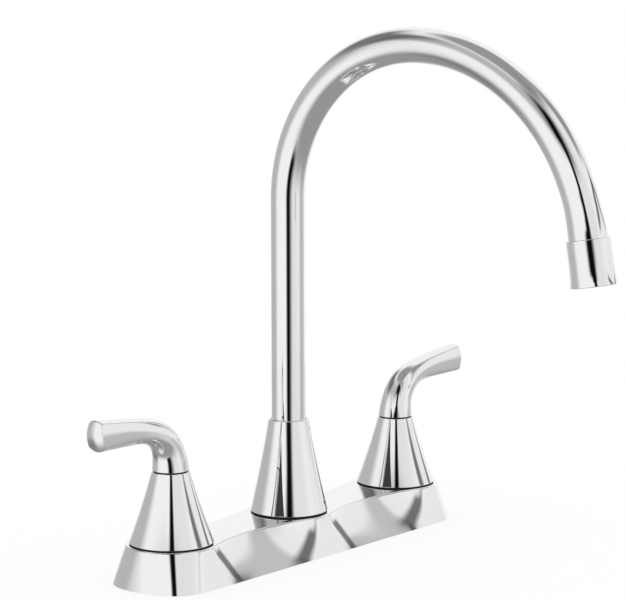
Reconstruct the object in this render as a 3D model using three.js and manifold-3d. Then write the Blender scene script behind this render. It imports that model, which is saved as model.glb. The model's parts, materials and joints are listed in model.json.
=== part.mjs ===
// A two handle kitchen faucet with a deck plate, two lever handles and a swivelling gooseneck spout.
// Millimetres. +Z is up, the sink's deck is the plane Z = 0, the spout swivels about the Z axis,
// the hot handle stands at -X, the cold handle at +X, and the spout points to -Y, the user's side.

import * as THREE from 'three';
import { mergeVertices } from 'three/addons/utils/BufferGeometryUtils.js';
import Module from 'manifold-3d';

const wasm = await Module();
wasm.setup();

// ---------------------------------------------------------------------------------------------
// Driving dimensions
// ---------------------------------------------------------------------------------------------

const HANDLE_SPACING = 203.2;
const ROUND_STEPS = 20;
const SMALL_STEPS = 16;
const BORE_STEPS = 12;
const O_RING_SIDES = 5;

// how far a cutting shape runs past what it cuts
const OVERRUN = 1;

// clearances
const SEAT_GAP = 0.1;
const SLIP_GAP = 0.2;
const TURN_GAP = 0.35;
const JOINT_GAP = 0.3;

// deck plate and its gasket
const PLATE_FOOT_REACH = 30;
const PLATE_FOOT_WIDTH = 61.4;
const PLATE_FOOT_POWER = 2.5;
const PLATE_LOBE_RADIUS = 25.3;
const PLATE_WAIST = 32.6;
const PLATE_WALL = 2.2;
const PLATE_HEADROOM = 2.8;
const GASKET_THICKNESS = 2.6;
const GASKET_SIDE_GAP = 0.5;

// pedestals
const HANDLE_FOOT_RADIUS = 23.6;
const HANDLE_TOP_RADIUS = 10.5;
const HANDLE_PEDESTAL_TOP = 62.2;
const SPOUT_FOOT_RADIUS = 22.5;
const SPOUT_PEDESTAL_TOP = 76.2;
const SPOUT_PEDESTAL_LIP = 1.35;
const PEDESTAL_WALL = 1.8;
const PEDESTAL_HOLLOW = 0.5;
const PEDESTAL_WEB = 2.0;
const PEDESTAL_EDGE = 0.5;
const PEDESTAL_SHOULDER = 2.0;
const SPOUT_COLLAR = 4.0;
const SEAL_THICKNESS = 0.5;
const SEAL_SETBACK = 0.5;
const SEAL_WIDTH = 2.6;

// water ways under the plate
const CROSSOVER_RADIUS = 5.0;
const CROSSOVER_WALL = 1.0;
const BOSS_WALL = 0.9;
const BOSS_LIFT = 2.1;
const BOSS_REACH = 6.0;
const SOCKET_DEPTH = 4.0;

// valve body with its inlet shank
const SHANK_RADIUS = 10.4;
const SHANK_BORE = 6.5;
const SHANK_END = -52;
const FLANGE_RADIUS = 17;
const FLANGE_THICKNESS = 4.0;
const POCKET_RADIUS = 9.5;
const POCKET_WALL = 3.7;
const SEAT_THICKNESS = 2.0;
const SEAT_PORT = 4.2;
const GROOVE_DEPTH = 1.7;
const GROOVE_LOW = 2.6;
const GROOVE_HIGH = 12.6;
const WEB_BELOW_SEAM = 20.1;

// clamping under the deck
const DECK_THICKNESS = 10;
const WASHER_RADIUS = 19;
const WASHER_THICKNESS = 2;
const NUT_RADIUS = 16;
const NUT_HEIGHT = 10;
const NUT_WING_REACH = 24;
const NUT_WING_THICKNESS = 4;
const NUT_WING_HEIGHT = 7;
const NUT_WINGS = 4;

// cartridge
const SEAT_SEAL_THICKNESS = 2.0;
const DISC_RADIUS = 7.5;
const DISC_THICKNESS = 3.0;
const DISC_PORT_RADIUS = 2.0;
const DISC_PORT_OFFSET = 3.8;
const CHAMBER_HEIGHT = 6.2;
const WINDOW_WIDTH = 6.0;
const WINDOW_HEIGHT = 3.5;
const STEM_RADIUS = 4.1;
const STEM_ROOT = 3.3;
const STEM_TIP = 3.85;
const STEM_SPLINES = 10;
const STEM_SPLINE_LEAD = 1.0;
const STEM_TOP_GAP = 1.0;
const DRIVER_LENGTH = 13.0;
const DRIVER_WIDTH = 5.6;
const DRIVER_HEIGHT = 3.2;
const O_RING_THICKNESS = 1.5;
const O_RING_HEIGHT = 4.0;
const BONNET_FLATS = 19;
const BONNET_HEAD = 6.0;
const BONNET_THREAD = 3.9;

// lever
const GLIDE_FLANGE = 0.6;
const GLIDE_DEPTH = 3.0;
const GLIDE_WALL = 1.6;
const GLIDE_BORE_GAP = 1.0;
const LEVER_BORE_DEPTH = 12.0;
const LEVER_TIP_DOME = 1.3;
const LEVER_TIP_SCALE = 0.72;
const SCREW_RADIUS = 2.4;
const SCREW_LENGTH = 4.8;
const SCREW_HEIGHT = 6.2;
const SCREW_SOCKET = 1.4;

// spout
const TUBE_RADIUS = 9.9;
const TUBE_WALL = 1.4;
const RISER_TOP = 202.9;
const SPOUT_BENDS = [
  { radius: 90, degrees: 86, steps: 10 },
  { radius: 112, degrees: 76, steps: 8 },
  { radius: 138, degrees: 8.5, steps: 2 },
];
const OUTLET_RADIUS = 10.6;
const OUTLET_FLARE_LENGTH = 20;

// spout hub and swivel joint
const HUB_RADIUS = 15;
const HUB_FLOOR = 3.2;
const HUB_WALL = 2.4;
const HUB_CHAMBER = 8.0;
const SOCKET_FLOOR = 24;
const SOCKET_TOP = 56;
const THREAD_LOW = 38;
const THREAD_HIGH = 48;
const WEAR_RING_THICKNESS = 1.8;
const ADAPTER_LENGTH = 30;
const ADAPTER_BORE = 6.0;
const SPIGOT_LENGTH = 8.0;
const SPOUT_O_RING = 1.8;
const SPOUT_O_RING_HEIGHTS = [31, 37];
const SNAP_RING_HEIGHT = 50.5;
const SNAP_RING_THICKNESS = 1.1;
const SNAP_RING_GAP = 4;
const SNAP_RING_GRIP = 1.0;

// aerator
const HOUSING_LENGTH = 25;
const HOUSING_RADIUS = 11.95;
const HOUSING_MOUTH_RADIUS = 12.75;
const HOUSING_FLARE = [[0.55, 2.5], [0.22, 6], [0, 12]];
const HOUSING_EDGE = 0.3;
const HOUSING_BORE = 10.8;
const HOUSING_SOCKET = 8;
const HOUSING_SHOULDER = 2.5;
const HOUSING_SHOULDER_BORE = 8.8;
const AERATOR_WASHER_THICKNESS = 2.0;
const SCREEN_THICKNESS = 0.8;
const SCREEN_BARS = 3;
const SCREEN_BAR_WIDTH = 0.8;
const INSERT_RECESS = 1.5;
const INSERT_WALL = 1.5;
const INSERT_RIBS = 6;
const INSERT_RIB_WIDTH = 0.9;
const INSERT_FACE = 2.0;
const INSERT_HUB = 2.0;

// ---------------------------------------------------------------------------------------------
// Sizes that follow from them
// ---------------------------------------------------------------------------------------------

const HALF_SPACING = HANDLE_SPACING / 2;
const BOSS_RADIUS = CROSSOVER_RADIUS + SLIP_GAP + BOSS_WALL;
const FLANGE_BOTTOM = GASKET_THICKNESS + SEAT_GAP;
const CROSSOVER_HEIGHT = FLANGE_BOTTOM + BOSS_LIFT + BOSS_RADIUS;
const PLATE_CEILING = CROSSOVER_HEIGHT + BOSS_RADIUS + PLATE_HEADROOM;
const PLATE_TOP = PLATE_CEILING + PLATE_WALL;
const PEDESTAL_FOOT = PLATE_TOP + SEAL_THICKNESS + 2 * SEAT_GAP;
const BARREL_RADIUS = POCKET_RADIUS + POCKET_WALL;
const WEB_BOTTOM = HANDLE_PEDESTAL_TOP - WEB_BELOW_SEAM;
const WEB_TOP = WEB_BOTTOM + PEDESTAL_WEB;
const BARREL_TOP = WEB_BOTTOM - SEAT_GAP;
const SEAT_HEIGHT = FLANGE_BOTTOM + SEAT_THICKNESS + BOSS_WALL;
const PLUG_RADIUS = POCKET_RADIUS - SLIP_GAP;
const SHELL_BOTTOM = SEAT_HEIGHT + SEAT_SEAL_THICKNESS + 2 * SEAT_GAP;
const FIXED_DISC_TOP = SHELL_BOTTOM + DISC_THICKNESS;
const MOVING_DISC_BOTTOM = FIXED_DISC_TOP + SEAT_GAP;
const DRIVER_BOTTOM = MOVING_DISC_BOTTOM + DISC_THICKNESS + SEAT_GAP;
const CHAMBER_TOP = DRIVER_BOTTOM + CHAMBER_HEIGHT;
const SHELL_TOP = BARREL_TOP - BONNET_THREAD;
const SHELL_BORE = DISC_RADIUS + TURN_GAP;
const STEM_HOLE = STEM_RADIUS + TURN_GAP;
const LEVER_BOTTOM = HANDLE_PEDESTAL_TOP + GLIDE_FLANGE + 2 * SEAT_GAP;
const NECK_RADIUS = HANDLE_TOP_RADIUS - SLIP_GAP;
const SPOUT_TOP_RADIUS = TUBE_RADIUS + TURN_GAP + SPOUT_PEDESTAL_LIP;
const SPOUT_SOCKET = TUBE_RADIUS + SEAT_GAP;
const POST_RADIUS = SPOUT_SOCKET + HUB_WALL;
const PLUG_CLEAR = SPOUT_SOCKET - TURN_GAP;
const TUBE_FOOT = SOCKET_TOP + WEAR_RING_THICKNESS + 2 * SEAT_GAP;
const WASHER_TOP = -DECK_THICKNESS - JOINT_GAP;
const NUT_TOP = WASHER_TOP - WASHER_THICKNESS - SEAT_GAP;

// ---------------------------------------------------------------------------------------------
// Finishes
// ---------------------------------------------------------------------------------------------

const FINISHES = {
  chrome: { color: 0xdcdde0, roughness: 0.06, metalness: 1.0 },
  brass: { color: 0xb8975a, roughness: 0.35, metalness: 1.0 },
  copper: { color: 0xb5714e, roughness: 0.35, metalness: 1.0 },
  steel: { color: 0xa6a9ad, roughness: 0.3, metalness: 1.0 },
  rubber: { color: 0x1c1c1e, roughness: 0.8, metalness: 0.0 },
  nylon: { color: 0x26272a, roughness: 0.5, metalness: 0.0 },
  whitePlastic: { color: 0xe4e2da, roughness: 0.45, metalness: 0.0 },
  ceramic: { color: 0xe9e6df, roughness: 0.25, metalness: 0.0 },
};

// ---------------------------------------------------------------------------------------------
// Solids
// ---------------------------------------------------------------------------------------------

/** A closed mesh of merged points, without flat triangles, with its faces pointing out. */
function closed(geometry) {
  const bare = new THREE.BufferGeometry();
  bare.setAttribute('position', geometry.getAttribute('position').clone());
  bare.setIndex(geometry.getIndex());
  const merged = mergeVertices(bare, 1e-4);
  const index = merged.getIndex().array;
  const kept = [];
  for (let i = 0; i < index.length; i += 3) {
    const [a, b, c] = [index[i], index[i + 1], index[i + 2]];
    if (a !== b && b !== c && c !== a) kept.push(a, b, c);
  }
  if (signedVolume(merged, kept) < 0) {
    kept.reverse();
  }
  merged.setIndex(kept);
  return merged;
}

/** Six times the volume inside a triangle mesh, negative if its faces point in. */
function signedVolume(geometry, index) {
  const position = geometry.getAttribute('position');
  const [a, b, c] = [new THREE.Vector3(), new THREE.Vector3(), new THREE.Vector3()];
  let volume = 0;
  for (let i = 0; i < index.length; i += 3) {
    a.fromBufferAttribute(position, index[i]);
    b.fromBufferAttribute(position, index[i + 1]);
    c.fromBufferAttribute(position, index[i + 2]);
    volume += a.dot(b.cross(c));
  }
  return volume;
}

function toManifold(geometry) {
  const mesh = closed(geometry);
  return new wasm.Manifold(new wasm.Mesh({
    numProp: 3,
    vertProperties: new Float32Array(mesh.getAttribute('position').array),
    triVerts: new Uint32Array(mesh.getIndex().array),
  }));
}

function fromManifold(solid) {
  const mesh = solid.getMesh();
  const geometry = new THREE.BufferGeometry();
  geometry.setAttribute('position', new THREE.BufferAttribute(new Float32Array(mesh.vertProperties), 3));
  geometry.setIndex(new THREE.BufferAttribute(new Uint32Array(mesh.triVerts), 1));
  return geometry;
}

/** The first geometry with the others cut away. */
function cut(geometry, ...tools) {
  const solid = tools.reduce((rest, tool) => rest.subtract(toManifold(tool)), toManifold(geometry));
  return fromManifold(solid);
}

/** All the geometries as one. */
function join(geometry, ...others) {
  const solid = others.reduce((sum, other) => sum.add(toManifold(other)), toManifold(geometry));
  return fromManifold(solid);
}

/** A solid turned about the Z axis from a list of [radius, height]. */
function turned(profile, steps = ROUND_STEPS) {
  const points = profile.map(([radius, height]) => new THREE.Vector2(radius, height));
  return new THREE.LatheGeometry(points, steps).rotateX(Math.PI / 2);
}

/** A turned solid with a hole along its axis: the profile closes on itself. */
function hollow(profile, steps = ROUND_STEPS) {
  return turned([...profile, profile[0]], steps);
}

function rod(radius, low, high, steps = ROUND_STEPS) {
  return turned([[0, low], [radius, low], [radius, high], [0, high]], steps);
}

function ring(outer, inner, low, high, steps = ROUND_STEPS) {
  return hollow([[outer, low], [outer, high], [inner, high], [inner, low]], steps);
}

/** A rod along X from one x to another, at height z. */
function crossRod(radius, fromX, toX, z, steps = SMALL_STEPS) {
  return rod(radius, fromX, toX, steps).rotateY(Math.PI / 2).translate(0, 0, z);
}

/** A rod along Y from one y to another, at height z. */
function sideRod(radius, fromY, toY, z, steps = SMALL_STEPS) {
  return rod(radius, -toY, -fromY, steps).rotateX(Math.PI / 2).translate(0, 0, z);
}

function block(sizeX, sizeY, low, high) {
  return new THREE.BoxGeometry(sizeX, sizeY, high - low).translate(0, 0, (low + high) / 2);
}

/** A prism with the given number of sides, a flat side facing +X. */
function prism(sides, acrossFlats, low, high) {
  const radius = acrossFlats / 2 / Math.cos(Math.PI / sides);
  return rod(radius, low, high, sides).rotateZ(Math.PI / sides);
}

/** A ring of round section about the Z axis. */
function roundRing(middle, thickness, height) {
  return new THREE.TorusGeometry(middle, thickness / 2, O_RING_SIDES, ROUND_STEPS)
    .translate(0, 0, height);
}

/** A skin through rings of equally many points, closed at both ends. */
function loft(rings) {
  const count = rings[0].length;
  const points = rings.flat();
  const index = [];
  for (let row = 0; row + 1 < rings.length; row++) {
    for (let i = 0; i < count; i++) {
      const next = (i + 1) % count;
      const [a, b] = [row * count + i, row * count + next];
      const [c, d] = [a + count, b + count];
      index.push(a, b, d, a, d, c);
    }
  }
  for (const first of [0, (rings.length - 1) * count]) {
    const centre = points.length;
    const middle = new THREE.Vector3();
    for (let i = 0; i < count; i++) middle.addScaledVector(points[first + i], 1 / count);
    points.push(middle);
    for (let i = 0; i < count; i++) {
      const [a, b] = [first + i, first + (i + 1) % count];
      index.push(...(first === 0 ? [centre, b, a] : [centre, a, b]));
    }
  }
  const geometry = new THREE.BufferGeometry().setFromPoints(points);
  geometry.setIndex(index);
  return geometry;
}

function piece(name, geometry, finish) {
  const material = new THREE.MeshStandardMaterial(FINISHES[finish]);
  const mesh = new THREE.Mesh(closed(geometry), material);
  mesh.name = name;
  return mesh;
}

// ---------------------------------------------------------------------------------------------
// Deck plate and gasket
// ---------------------------------------------------------------------------------------------

/** Half the plate's width at x: round lobes about the three pedestals, drawn in to the waist between. */
function plateHalfWidth(x, lobe, waist) {
  const middle = HALF_SPACING / 2;
  if (lobe - waist < 1e-6) return lobe;
  const fillet = (middle ** 2 + waist ** 2 - lobe ** 2) / (2 * (lobe - waist));
  const fromLobe = Math.abs(x) < middle ? Math.abs(x) : HALF_SPACING - Math.abs(x);
  const tangent = middle * lobe / (lobe + fillet);
  if (fromLobe < tangent) return Math.sqrt(lobe ** 2 - fromLobe ** 2);
  return waist + fillet - Math.sqrt(fillet ** 2 - (middle - fromLobe) ** 2);
}

/**
 * The plate's outline at one height, as a ring of points. Each end is half a superellipse that reaches
 * past the handle's axis, and it meets the long sides in the half width of the lobes.
 */
function plateRing({ reach, lobe, waist, power }, height) {
  const endSteps = 12;
  const sideSteps = 24;
  const points = [];
  const bowed = (value) => Math.sign(value) * Math.abs(value) ** (2 / power);
  for (const side of [1, -1]) {
    for (let i = 0; i < endSteps; i++) {
      const angle = -Math.PI / 2 + Math.PI * i / endSteps;
      const x = side * (HALF_SPACING + reach * bowed(Math.cos(angle)));
      points.push(new THREE.Vector3(x, side * lobe * bowed(Math.sin(angle)), height));
    }
    for (let i = 0; i < sideSteps; i++) {
      const x = side * HALF_SPACING * (1 - 2 * i / sideSteps);
      points.push(new THREE.Vector3(x, side * plateHalfWidth(x, lobe, waist), height));
    }
  }
  return points;
}

/** The size of the plate's outline where it stands on the deck, drawn in by an inset. */
function plateFoot(inset) {
  const half = PLATE_FOOT_WIDTH / 2 - inset;
  return { reach: PLATE_FOOT_REACH - inset, lobe: half, waist: half, power: PLATE_FOOT_POWER };
}

/** The size of the plate's outline at its wavy top edge, drawn in by an inset. */
function plateCrown(inset) {
  const lobe = PLATE_LOBE_RADIUS - inset;
  return { reach: lobe, lobe, waist: PLATE_WAIST / 2 - inset, power: 2 };
}

const blend = (low, high, share) => low.map((point, i) => point.clone().lerp(high[i], share));

function deckPlate() {
  const outside = loft([plateRing(plateFoot(0), 0), plateRing(plateCrown(0), PLATE_TOP)]);
  const inside = loft([
    plateRing(plateFoot(PLATE_WALL), -OVERRUN),
    plateRing(plateFoot(PLATE_WALL), 0),
    plateRing(plateCrown(PLATE_WALL), PLATE_CEILING),
  ]);
  const bodyHole = rod(BARREL_RADIUS + TURN_GAP, 0, PLATE_TOP + OVERRUN);
  return cut(
    outside,
    inside,
    bodyHole.clone().translate(-HALF_SPACING, 0, 0),
    bodyHole.clone().translate(HALF_SPACING, 0, 0),
    rod(POST_RADIUS + TURN_GAP, 0, PLATE_TOP + OVERRUN),
  );
}

function deckGasket() {
  const inset = PLATE_WALL + GASKET_SIDE_GAP;
  const [foot, crown] = [plateRing(plateFoot(inset), 0), plateRing(plateCrown(inset), 0)];
  const outline = blend(foot, crown, GASKET_THICKNESS / PLATE_CEILING);
  const top = outline.map((point) => point.clone().setZ(GASKET_THICKNESS));
  const hole = rod(SHANK_RADIUS + JOINT_GAP, -OVERRUN, GASKET_THICKNESS + OVERRUN);
  return cut(
    loft([outline, top]),
    hole.clone().translate(-HALF_SPACING, 0, 0),
    hole.clone().translate(HALF_SPACING, 0, 0),
  );
}

// ---------------------------------------------------------------------------------------------
// Pedestals
// ---------------------------------------------------------------------------------------------

/** Outer radius of a slightly hollow cone at a height. */
function coneRadius(footRadius, topRadius, topHeight, height) {
  const share = (height - PEDESTAL_FOOT) / (topHeight - PEDESTAL_FOOT);
  return footRadius + (topRadius - footRadius) * share - 4 * PEDESTAL_HOLLOW * share * (1 - share);
}

/** The outer profile of a pedestal, from its foot to its eased top edge. */
function coneProfile(footRadius, topRadius, topHeight) {
  const profile = [];
  const steps = 5;
  for (let i = 0; i < steps; i++) {
    const height = PEDESTAL_FOOT + (topHeight - PEDESTAL_EDGE - PEDESTAL_FOOT) * i / (steps - 1);
    profile.push([coneRadius(footRadius, topRadius, topHeight, height), height]);
  }
  profile.push([topRadius - PEDESTAL_EDGE, topHeight]);
  return profile;
}

function handlePedestal() {
  const radiusAt = (height) => (
    coneRadius(HANDLE_FOOT_RADIUS, HANDLE_TOP_RADIUS, HANDLE_PEDESTAL_TOP, height) - PEDESTAL_WALL
  );
  const bore = HANDLE_TOP_RADIUS - GLIDE_WALL + SLIP_GAP;
  const webBore = PLUG_RADIUS + JOINT_GAP;
  const shoulder = HANDLE_PEDESTAL_TOP - GLIDE_DEPTH - PEDESTAL_SHOULDER;
  return hollow([
    ...coneProfile(HANDLE_FOOT_RADIUS, HANDLE_TOP_RADIUS, HANDLE_PEDESTAL_TOP),
    [bore, HANDLE_PEDESTAL_TOP],
    [bore, HANDLE_PEDESTAL_TOP - GLIDE_DEPTH],
    [radiusAt(shoulder), shoulder],
    [radiusAt(WEB_TOP), WEB_TOP],
    [webBore, WEB_TOP],
    [webBore, WEB_BOTTOM],
    [radiusAt(WEB_BOTTOM), WEB_BOTTOM],
    [radiusAt(PEDESTAL_FOOT), PEDESTAL_FOOT],
  ]);
}

function spoutPedestal() {
  const radiusAt = (height) => (
    coneRadius(SPOUT_FOOT_RADIUS, SPOUT_TOP_RADIUS, SPOUT_PEDESTAL_TOP, height) - PEDESTAL_WALL
  );
  const bore = TUBE_RADIUS + TURN_GAP;
  const threadBore = POST_RADIUS + JOINT_GAP;
  const collar = SPOUT_PEDESTAL_TOP - SPOUT_COLLAR;
  const neck = collar - 2 * PEDESTAL_SHOULDER;
  return hollow([
    ...coneProfile(SPOUT_FOOT_RADIUS, SPOUT_TOP_RADIUS, SPOUT_PEDESTAL_TOP),
    [bore, SPOUT_PEDESTAL_TOP],
    [bore, collar],
    [radiusAt(neck), neck],
    [radiusAt(THREAD_HIGH + PEDESTAL_SHOULDER), THREAD_HIGH + PEDESTAL_SHOULDER],
    [threadBore, THREAD_HIGH],
    [threadBore, THREAD_LOW],
    [radiusAt(THREAD_LOW - PEDESTAL_SHOULDER), THREAD_LOW - PEDESTAL_SHOULDER],
    [radiusAt(PEDESTAL_FOOT), PEDESTAL_FOOT],
  ]);
}

function pedestalSeal(footRadius) {
  const outer = footRadius - SEAL_SETBACK;
  const bottom = PLATE_TOP + SEAT_GAP;
  return ring(outer, outer - SEAL_WIDTH, bottom, bottom + SEAL_THICKNESS);
}

// ---------------------------------------------------------------------------------------------
// Valve body, its clamping parts and the water ways
// ---------------------------------------------------------------------------------------------

function valveBody() {
  const flangeTop = FLANGE_BOTTOM + FLANGE_THICKNESS;
  const grooveRadius = POCKET_RADIUS + GROOVE_DEPTH;
  const body = hollow([
    [SHANK_RADIUS, SHANK_END],
    [SHANK_RADIUS, FLANGE_BOTTOM],
    [FLANGE_RADIUS, FLANGE_BOTTOM],
    [FLANGE_RADIUS, flangeTop],
    [BARREL_RADIUS, flangeTop],
    [BARREL_RADIUS, BARREL_TOP],
    [POCKET_RADIUS, BARREL_TOP],
    [POCKET_RADIUS, SEAT_HEIGHT + GROOVE_HIGH],
    [grooveRadius, SEAT_HEIGHT + GROOVE_HIGH],
    [grooveRadius, SEAT_HEIGHT + GROOVE_LOW],
    [POCKET_RADIUS, SEAT_HEIGHT + GROOVE_LOW],
    [POCKET_RADIUS, SEAT_HEIGHT],
    [SEAT_PORT, SEAT_HEIGHT],
    [SEAT_PORT, SEAT_HEIGHT - SEAT_THICKNESS],
    [SHANK_BORE, SEAT_HEIGHT - SEAT_THICKNESS],
    [SHANK_BORE, SHANK_END],
  ]);
  const bossEnd = BARREL_RADIUS + BOSS_REACH;
  const bossStart = (grooveRadius + BARREL_RADIUS) / 2;
  const socket = CROSSOVER_RADIUS + SLIP_GAP;
  return cut(
    join(body, crossRod(BOSS_RADIUS, bossStart, bossEnd, CROSSOVER_HEIGHT, ROUND_STEPS)),
    crossRod(socket, bossEnd - SOCKET_DEPTH, bossEnd + OVERRUN, CROSSOVER_HEIGHT),
    crossRod(CROSSOVER_RADIUS - CROSSOVER_WALL, POCKET_RADIUS - OVERRUN, bossEnd, CROSSOVER_HEIGHT),
  );
}

function shankWasher() {
  return ring(WASHER_RADIUS, SHANK_RADIUS + JOINT_GAP, WASHER_TOP - WASHER_THICKNESS, WASHER_TOP);
}

function lockNut() {
  const bottom = NUT_TOP - NUT_HEIGHT;
  const body = ring(NUT_RADIUS, SHANK_RADIUS + JOINT_GAP, bottom, NUT_TOP);
  const wings = [];
  for (let i = 0; i < NUT_WINGS; i++) {
    const length = NUT_WING_REACH - NUT_RADIUS + 2 * OVERRUN;
    wings.push(
      block(length, NUT_WING_THICKNESS, bottom, bottom + NUT_WING_HEIGHT)
        .translate(NUT_WING_REACH - length / 2, 0, 0)
        .rotateZ(2 * Math.PI * (i + 0.5) / NUT_WINGS),
    );
  }
  return join(body, ...wings);
}

function crossoverTube() {
  const hubEnd = HUB_RADIUS - SOCKET_DEPTH + JOINT_GAP;
  const bodyEnd = HALF_SPACING - BARREL_RADIUS - BOSS_REACH + SOCKET_DEPTH - JOINT_GAP;
  return ring(CROSSOVER_RADIUS, CROSSOVER_RADIUS - CROSSOVER_WALL, hubEnd, bodyEnd, SMALL_STEPS)
    .rotateY(Math.PI / 2)
    .translate(0, 0, CROSSOVER_HEIGHT);
}

// ---------------------------------------------------------------------------------------------
// Cartridge
// ---------------------------------------------------------------------------------------------

function seatSeal() {
  const bottom = SEAT_HEIGHT + SEAT_GAP;
  return ring(PLUG_RADIUS, SEAT_PORT, bottom, bottom + SEAT_SEAL_THICKNESS, SMALL_STEPS);
}

/** A ceramic disc with two ports, on the X axis or turned from it. */
function ceramicDisc(bottom, turn) {
  const port = rod(DISC_PORT_RADIUS, bottom - OVERRUN, bottom + DISC_THICKNESS + OVERRUN, SMALL_STEPS);
  const disc = cut(
    rod(DISC_RADIUS, bottom, bottom + DISC_THICKNESS, ROUND_STEPS),
    port.clone().translate(DISC_PORT_OFFSET, 0, 0),
    port.clone().translate(-DISC_PORT_OFFSET, 0, 0),
  );
  return disc.rotateZ(turn);
}

function cartridgeShell() {
  const body = hollow([
    [PLUG_RADIUS, SHELL_BOTTOM],
    [PLUG_RADIUS, SHELL_TOP],
    [STEM_HOLE, SHELL_TOP],
    [STEM_HOLE, CHAMBER_TOP],
    [SHELL_BORE, CHAMBER_TOP],
    [SHELL_BORE, SHELL_BOTTOM],
  ]);
  const windowBottom = DRIVER_BOTTOM + JOINT_GAP;
  return cut(body, block(WINDOW_WIDTH, 4 * PLUG_RADIUS, windowBottom, windowBottom + WINDOW_HEIGHT));
}

/** Outline of the stem's splined end. */
function splineShape() {
  const shape = new THREE.Shape();
  for (let i = 0; i < 2 * STEM_SPLINES; i++) {
    const radius = i % 2 ? STEM_ROOT : STEM_TIP;
    const angle = Math.PI * i / STEM_SPLINES;
    const [x, y] = [radius * Math.cos(angle), radius * Math.sin(angle)];
    if (i === 0) shape.moveTo(x, y);
    else shape.lineTo(x, y);
  }
  shape.closePath();
  return shape;
}

const stemSplineStart = LEVER_BOTTOM - STEM_SPLINE_LEAD;
const stemTop = LEVER_BOTTOM + LEVER_BORE_DEPTH - STEM_TOP_GAP;
const stemRingHeight = CHAMBER_TOP + O_RING_HEIGHT;

function stem() {
  const grooveRoot = STEM_RADIUS - O_RING_THICKNESS + SEAT_GAP;
  const grooveHalf = O_RING_THICKNESS / 2 + SLIP_GAP;
  const shaft = turned([
    [0, DRIVER_BOTTOM + OVERRUN],
    [STEM_RADIUS, DRIVER_BOTTOM + OVERRUN],
    [STEM_RADIUS, stemRingHeight - grooveHalf],
    [grooveRoot, stemRingHeight - grooveHalf],
    [grooveRoot, stemRingHeight + grooveHalf],
    [STEM_RADIUS, stemRingHeight + grooveHalf],
    [STEM_RADIUS, stemSplineStart],
    [0, stemSplineStart],
  ], SMALL_STEPS);
  const spline = new THREE.ExtrudeGeometry(splineShape(), {
    depth: stemTop - stemSplineStart + OVERRUN,
    bevelEnabled: false,
  }).translate(0, 0, stemSplineStart - OVERRUN);
  const driver = block(DRIVER_LENGTH, DRIVER_WIDTH, DRIVER_BOTTOM, DRIVER_BOTTOM + DRIVER_HEIGHT);
  return join(shaft, spline, driver);
}

function stemORing() {
  const middle = STEM_RADIUS - O_RING_THICKNESS / 2 + SLIP_GAP;
  return roundRing(middle, O_RING_THICKNESS, stemRingHeight);
}

function bonnetNut() {
  const headBottom = WEB_TOP + SEAT_GAP;
  const thread = ring(PLUG_RADIUS, STEM_HOLE, SHELL_TOP + SEAT_GAP, headBottom + OVERRUN);
  const head = cut(
    prism(6, BONNET_FLATS, headBottom, headBottom + BONNET_HEAD),
    rod(STEM_HOLE, headBottom - OVERRUN, headBottom + BONNET_HEAD + OVERRUN),
  );
  return join(thread, head);
}

// ---------------------------------------------------------------------------------------------
// Lever
// ---------------------------------------------------------------------------------------------

// The lever is a bent horn with flattened sides. Each station gives the horn's upper (inner) and
// lower (outer) point as [reach from the handle's axis, height above the lever's bottom], and
// half its width at the upper and at the lower edge of its flat sides. A half width of null
// leaves the station round.
const LEVER_STATIONS = [
  { upper: [-NECK_RADIUS, 0], lower: [NECK_RADIUS, 0], flats: null },
  { upper: [-9.3, 5.6], lower: [10.2, 3.8], flats: null },
  { upper: [-7.5, 11.1], lower: [10.5, 7.3], flats: null },
  { upper: [-5.0, 16.6], lower: [11.6, 10.4], flats: null },
  { upper: [-1.0, 21.9], lower: [13.8, 13.2], flats: [8.1, 8.1] },
  { upper: [4.6, 26.6], lower: [17.0, 15.6], flats: [7.3, 7.5] },
  { upper: [12.2, 29.8], lower: [21.6, 17.4], flats: [6.3, 6.8] },
  { upper: [21.5, 31.8], lower: [28.0, 18.3], flats: [5.4, 6.2] },
  { upper: [32.5, 33.4], lower: [36.5, 18.5], flats: [4.9, 5.9] },
  { upper: [45.0, 34.7], lower: [46.5, 18.6], flats: [4.7, 5.9] },
  { upper: [59.0, 36.0], lower: [57.9, 18.7], flats: [4.6, 6.1] },
];

/** One ring of the lever: an upper arc, a flat side, a lower arc and the other flat side. */
function leverRing(upper, lower, flats, scale = 1) {
  const arcSteps = 7;
  const sideSteps = 3;
  const middle = upper.clone().add(lower).multiplyScalar(0.5);
  const up = upper.clone().sub(lower).multiplyScalar(0.5);
  const radius = up.length();
  up.normalize();
  const [top, bottom] = flats.map((half) => Math.asin(Math.min(half / radius, 0.985)));
  const angles = [];
  for (let i = 0; i < arcSteps; i++) angles.push(top * (1 - 2 * i / arcSteps));
  const corners = [[-top, -(Math.PI - bottom)], [Math.PI - bottom, top]];
  const at = (angle) => [Math.sin(angle) * radius, Math.cos(angle) * radius];
  const outline = angles.map(at);
  const addSide = ([from, to]) => {
    const [a, b] = [at(from), at(to)];
    for (let i = 0; i < sideSteps; i++) {
      const share = i / sideSteps;
      outline.push([a[0] + (b[0] - a[0]) * share, a[1] + (b[1] - a[1]) * share]);
    }
  };
  addSide(corners[0]);
  for (let i = 0; i < arcSteps; i++) {
    outline.push(at(-(Math.PI - bottom) - 2 * bottom * i / arcSteps));
  }
  addSide(corners[1]);
  return outline.map(([across, along]) => new THREE.Vector3(
    -(middle.x + up.x * along * scale),
    across * scale,
    LEVER_BOTTOM + middle.y + up.y * along * scale,
  ));
}

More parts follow.
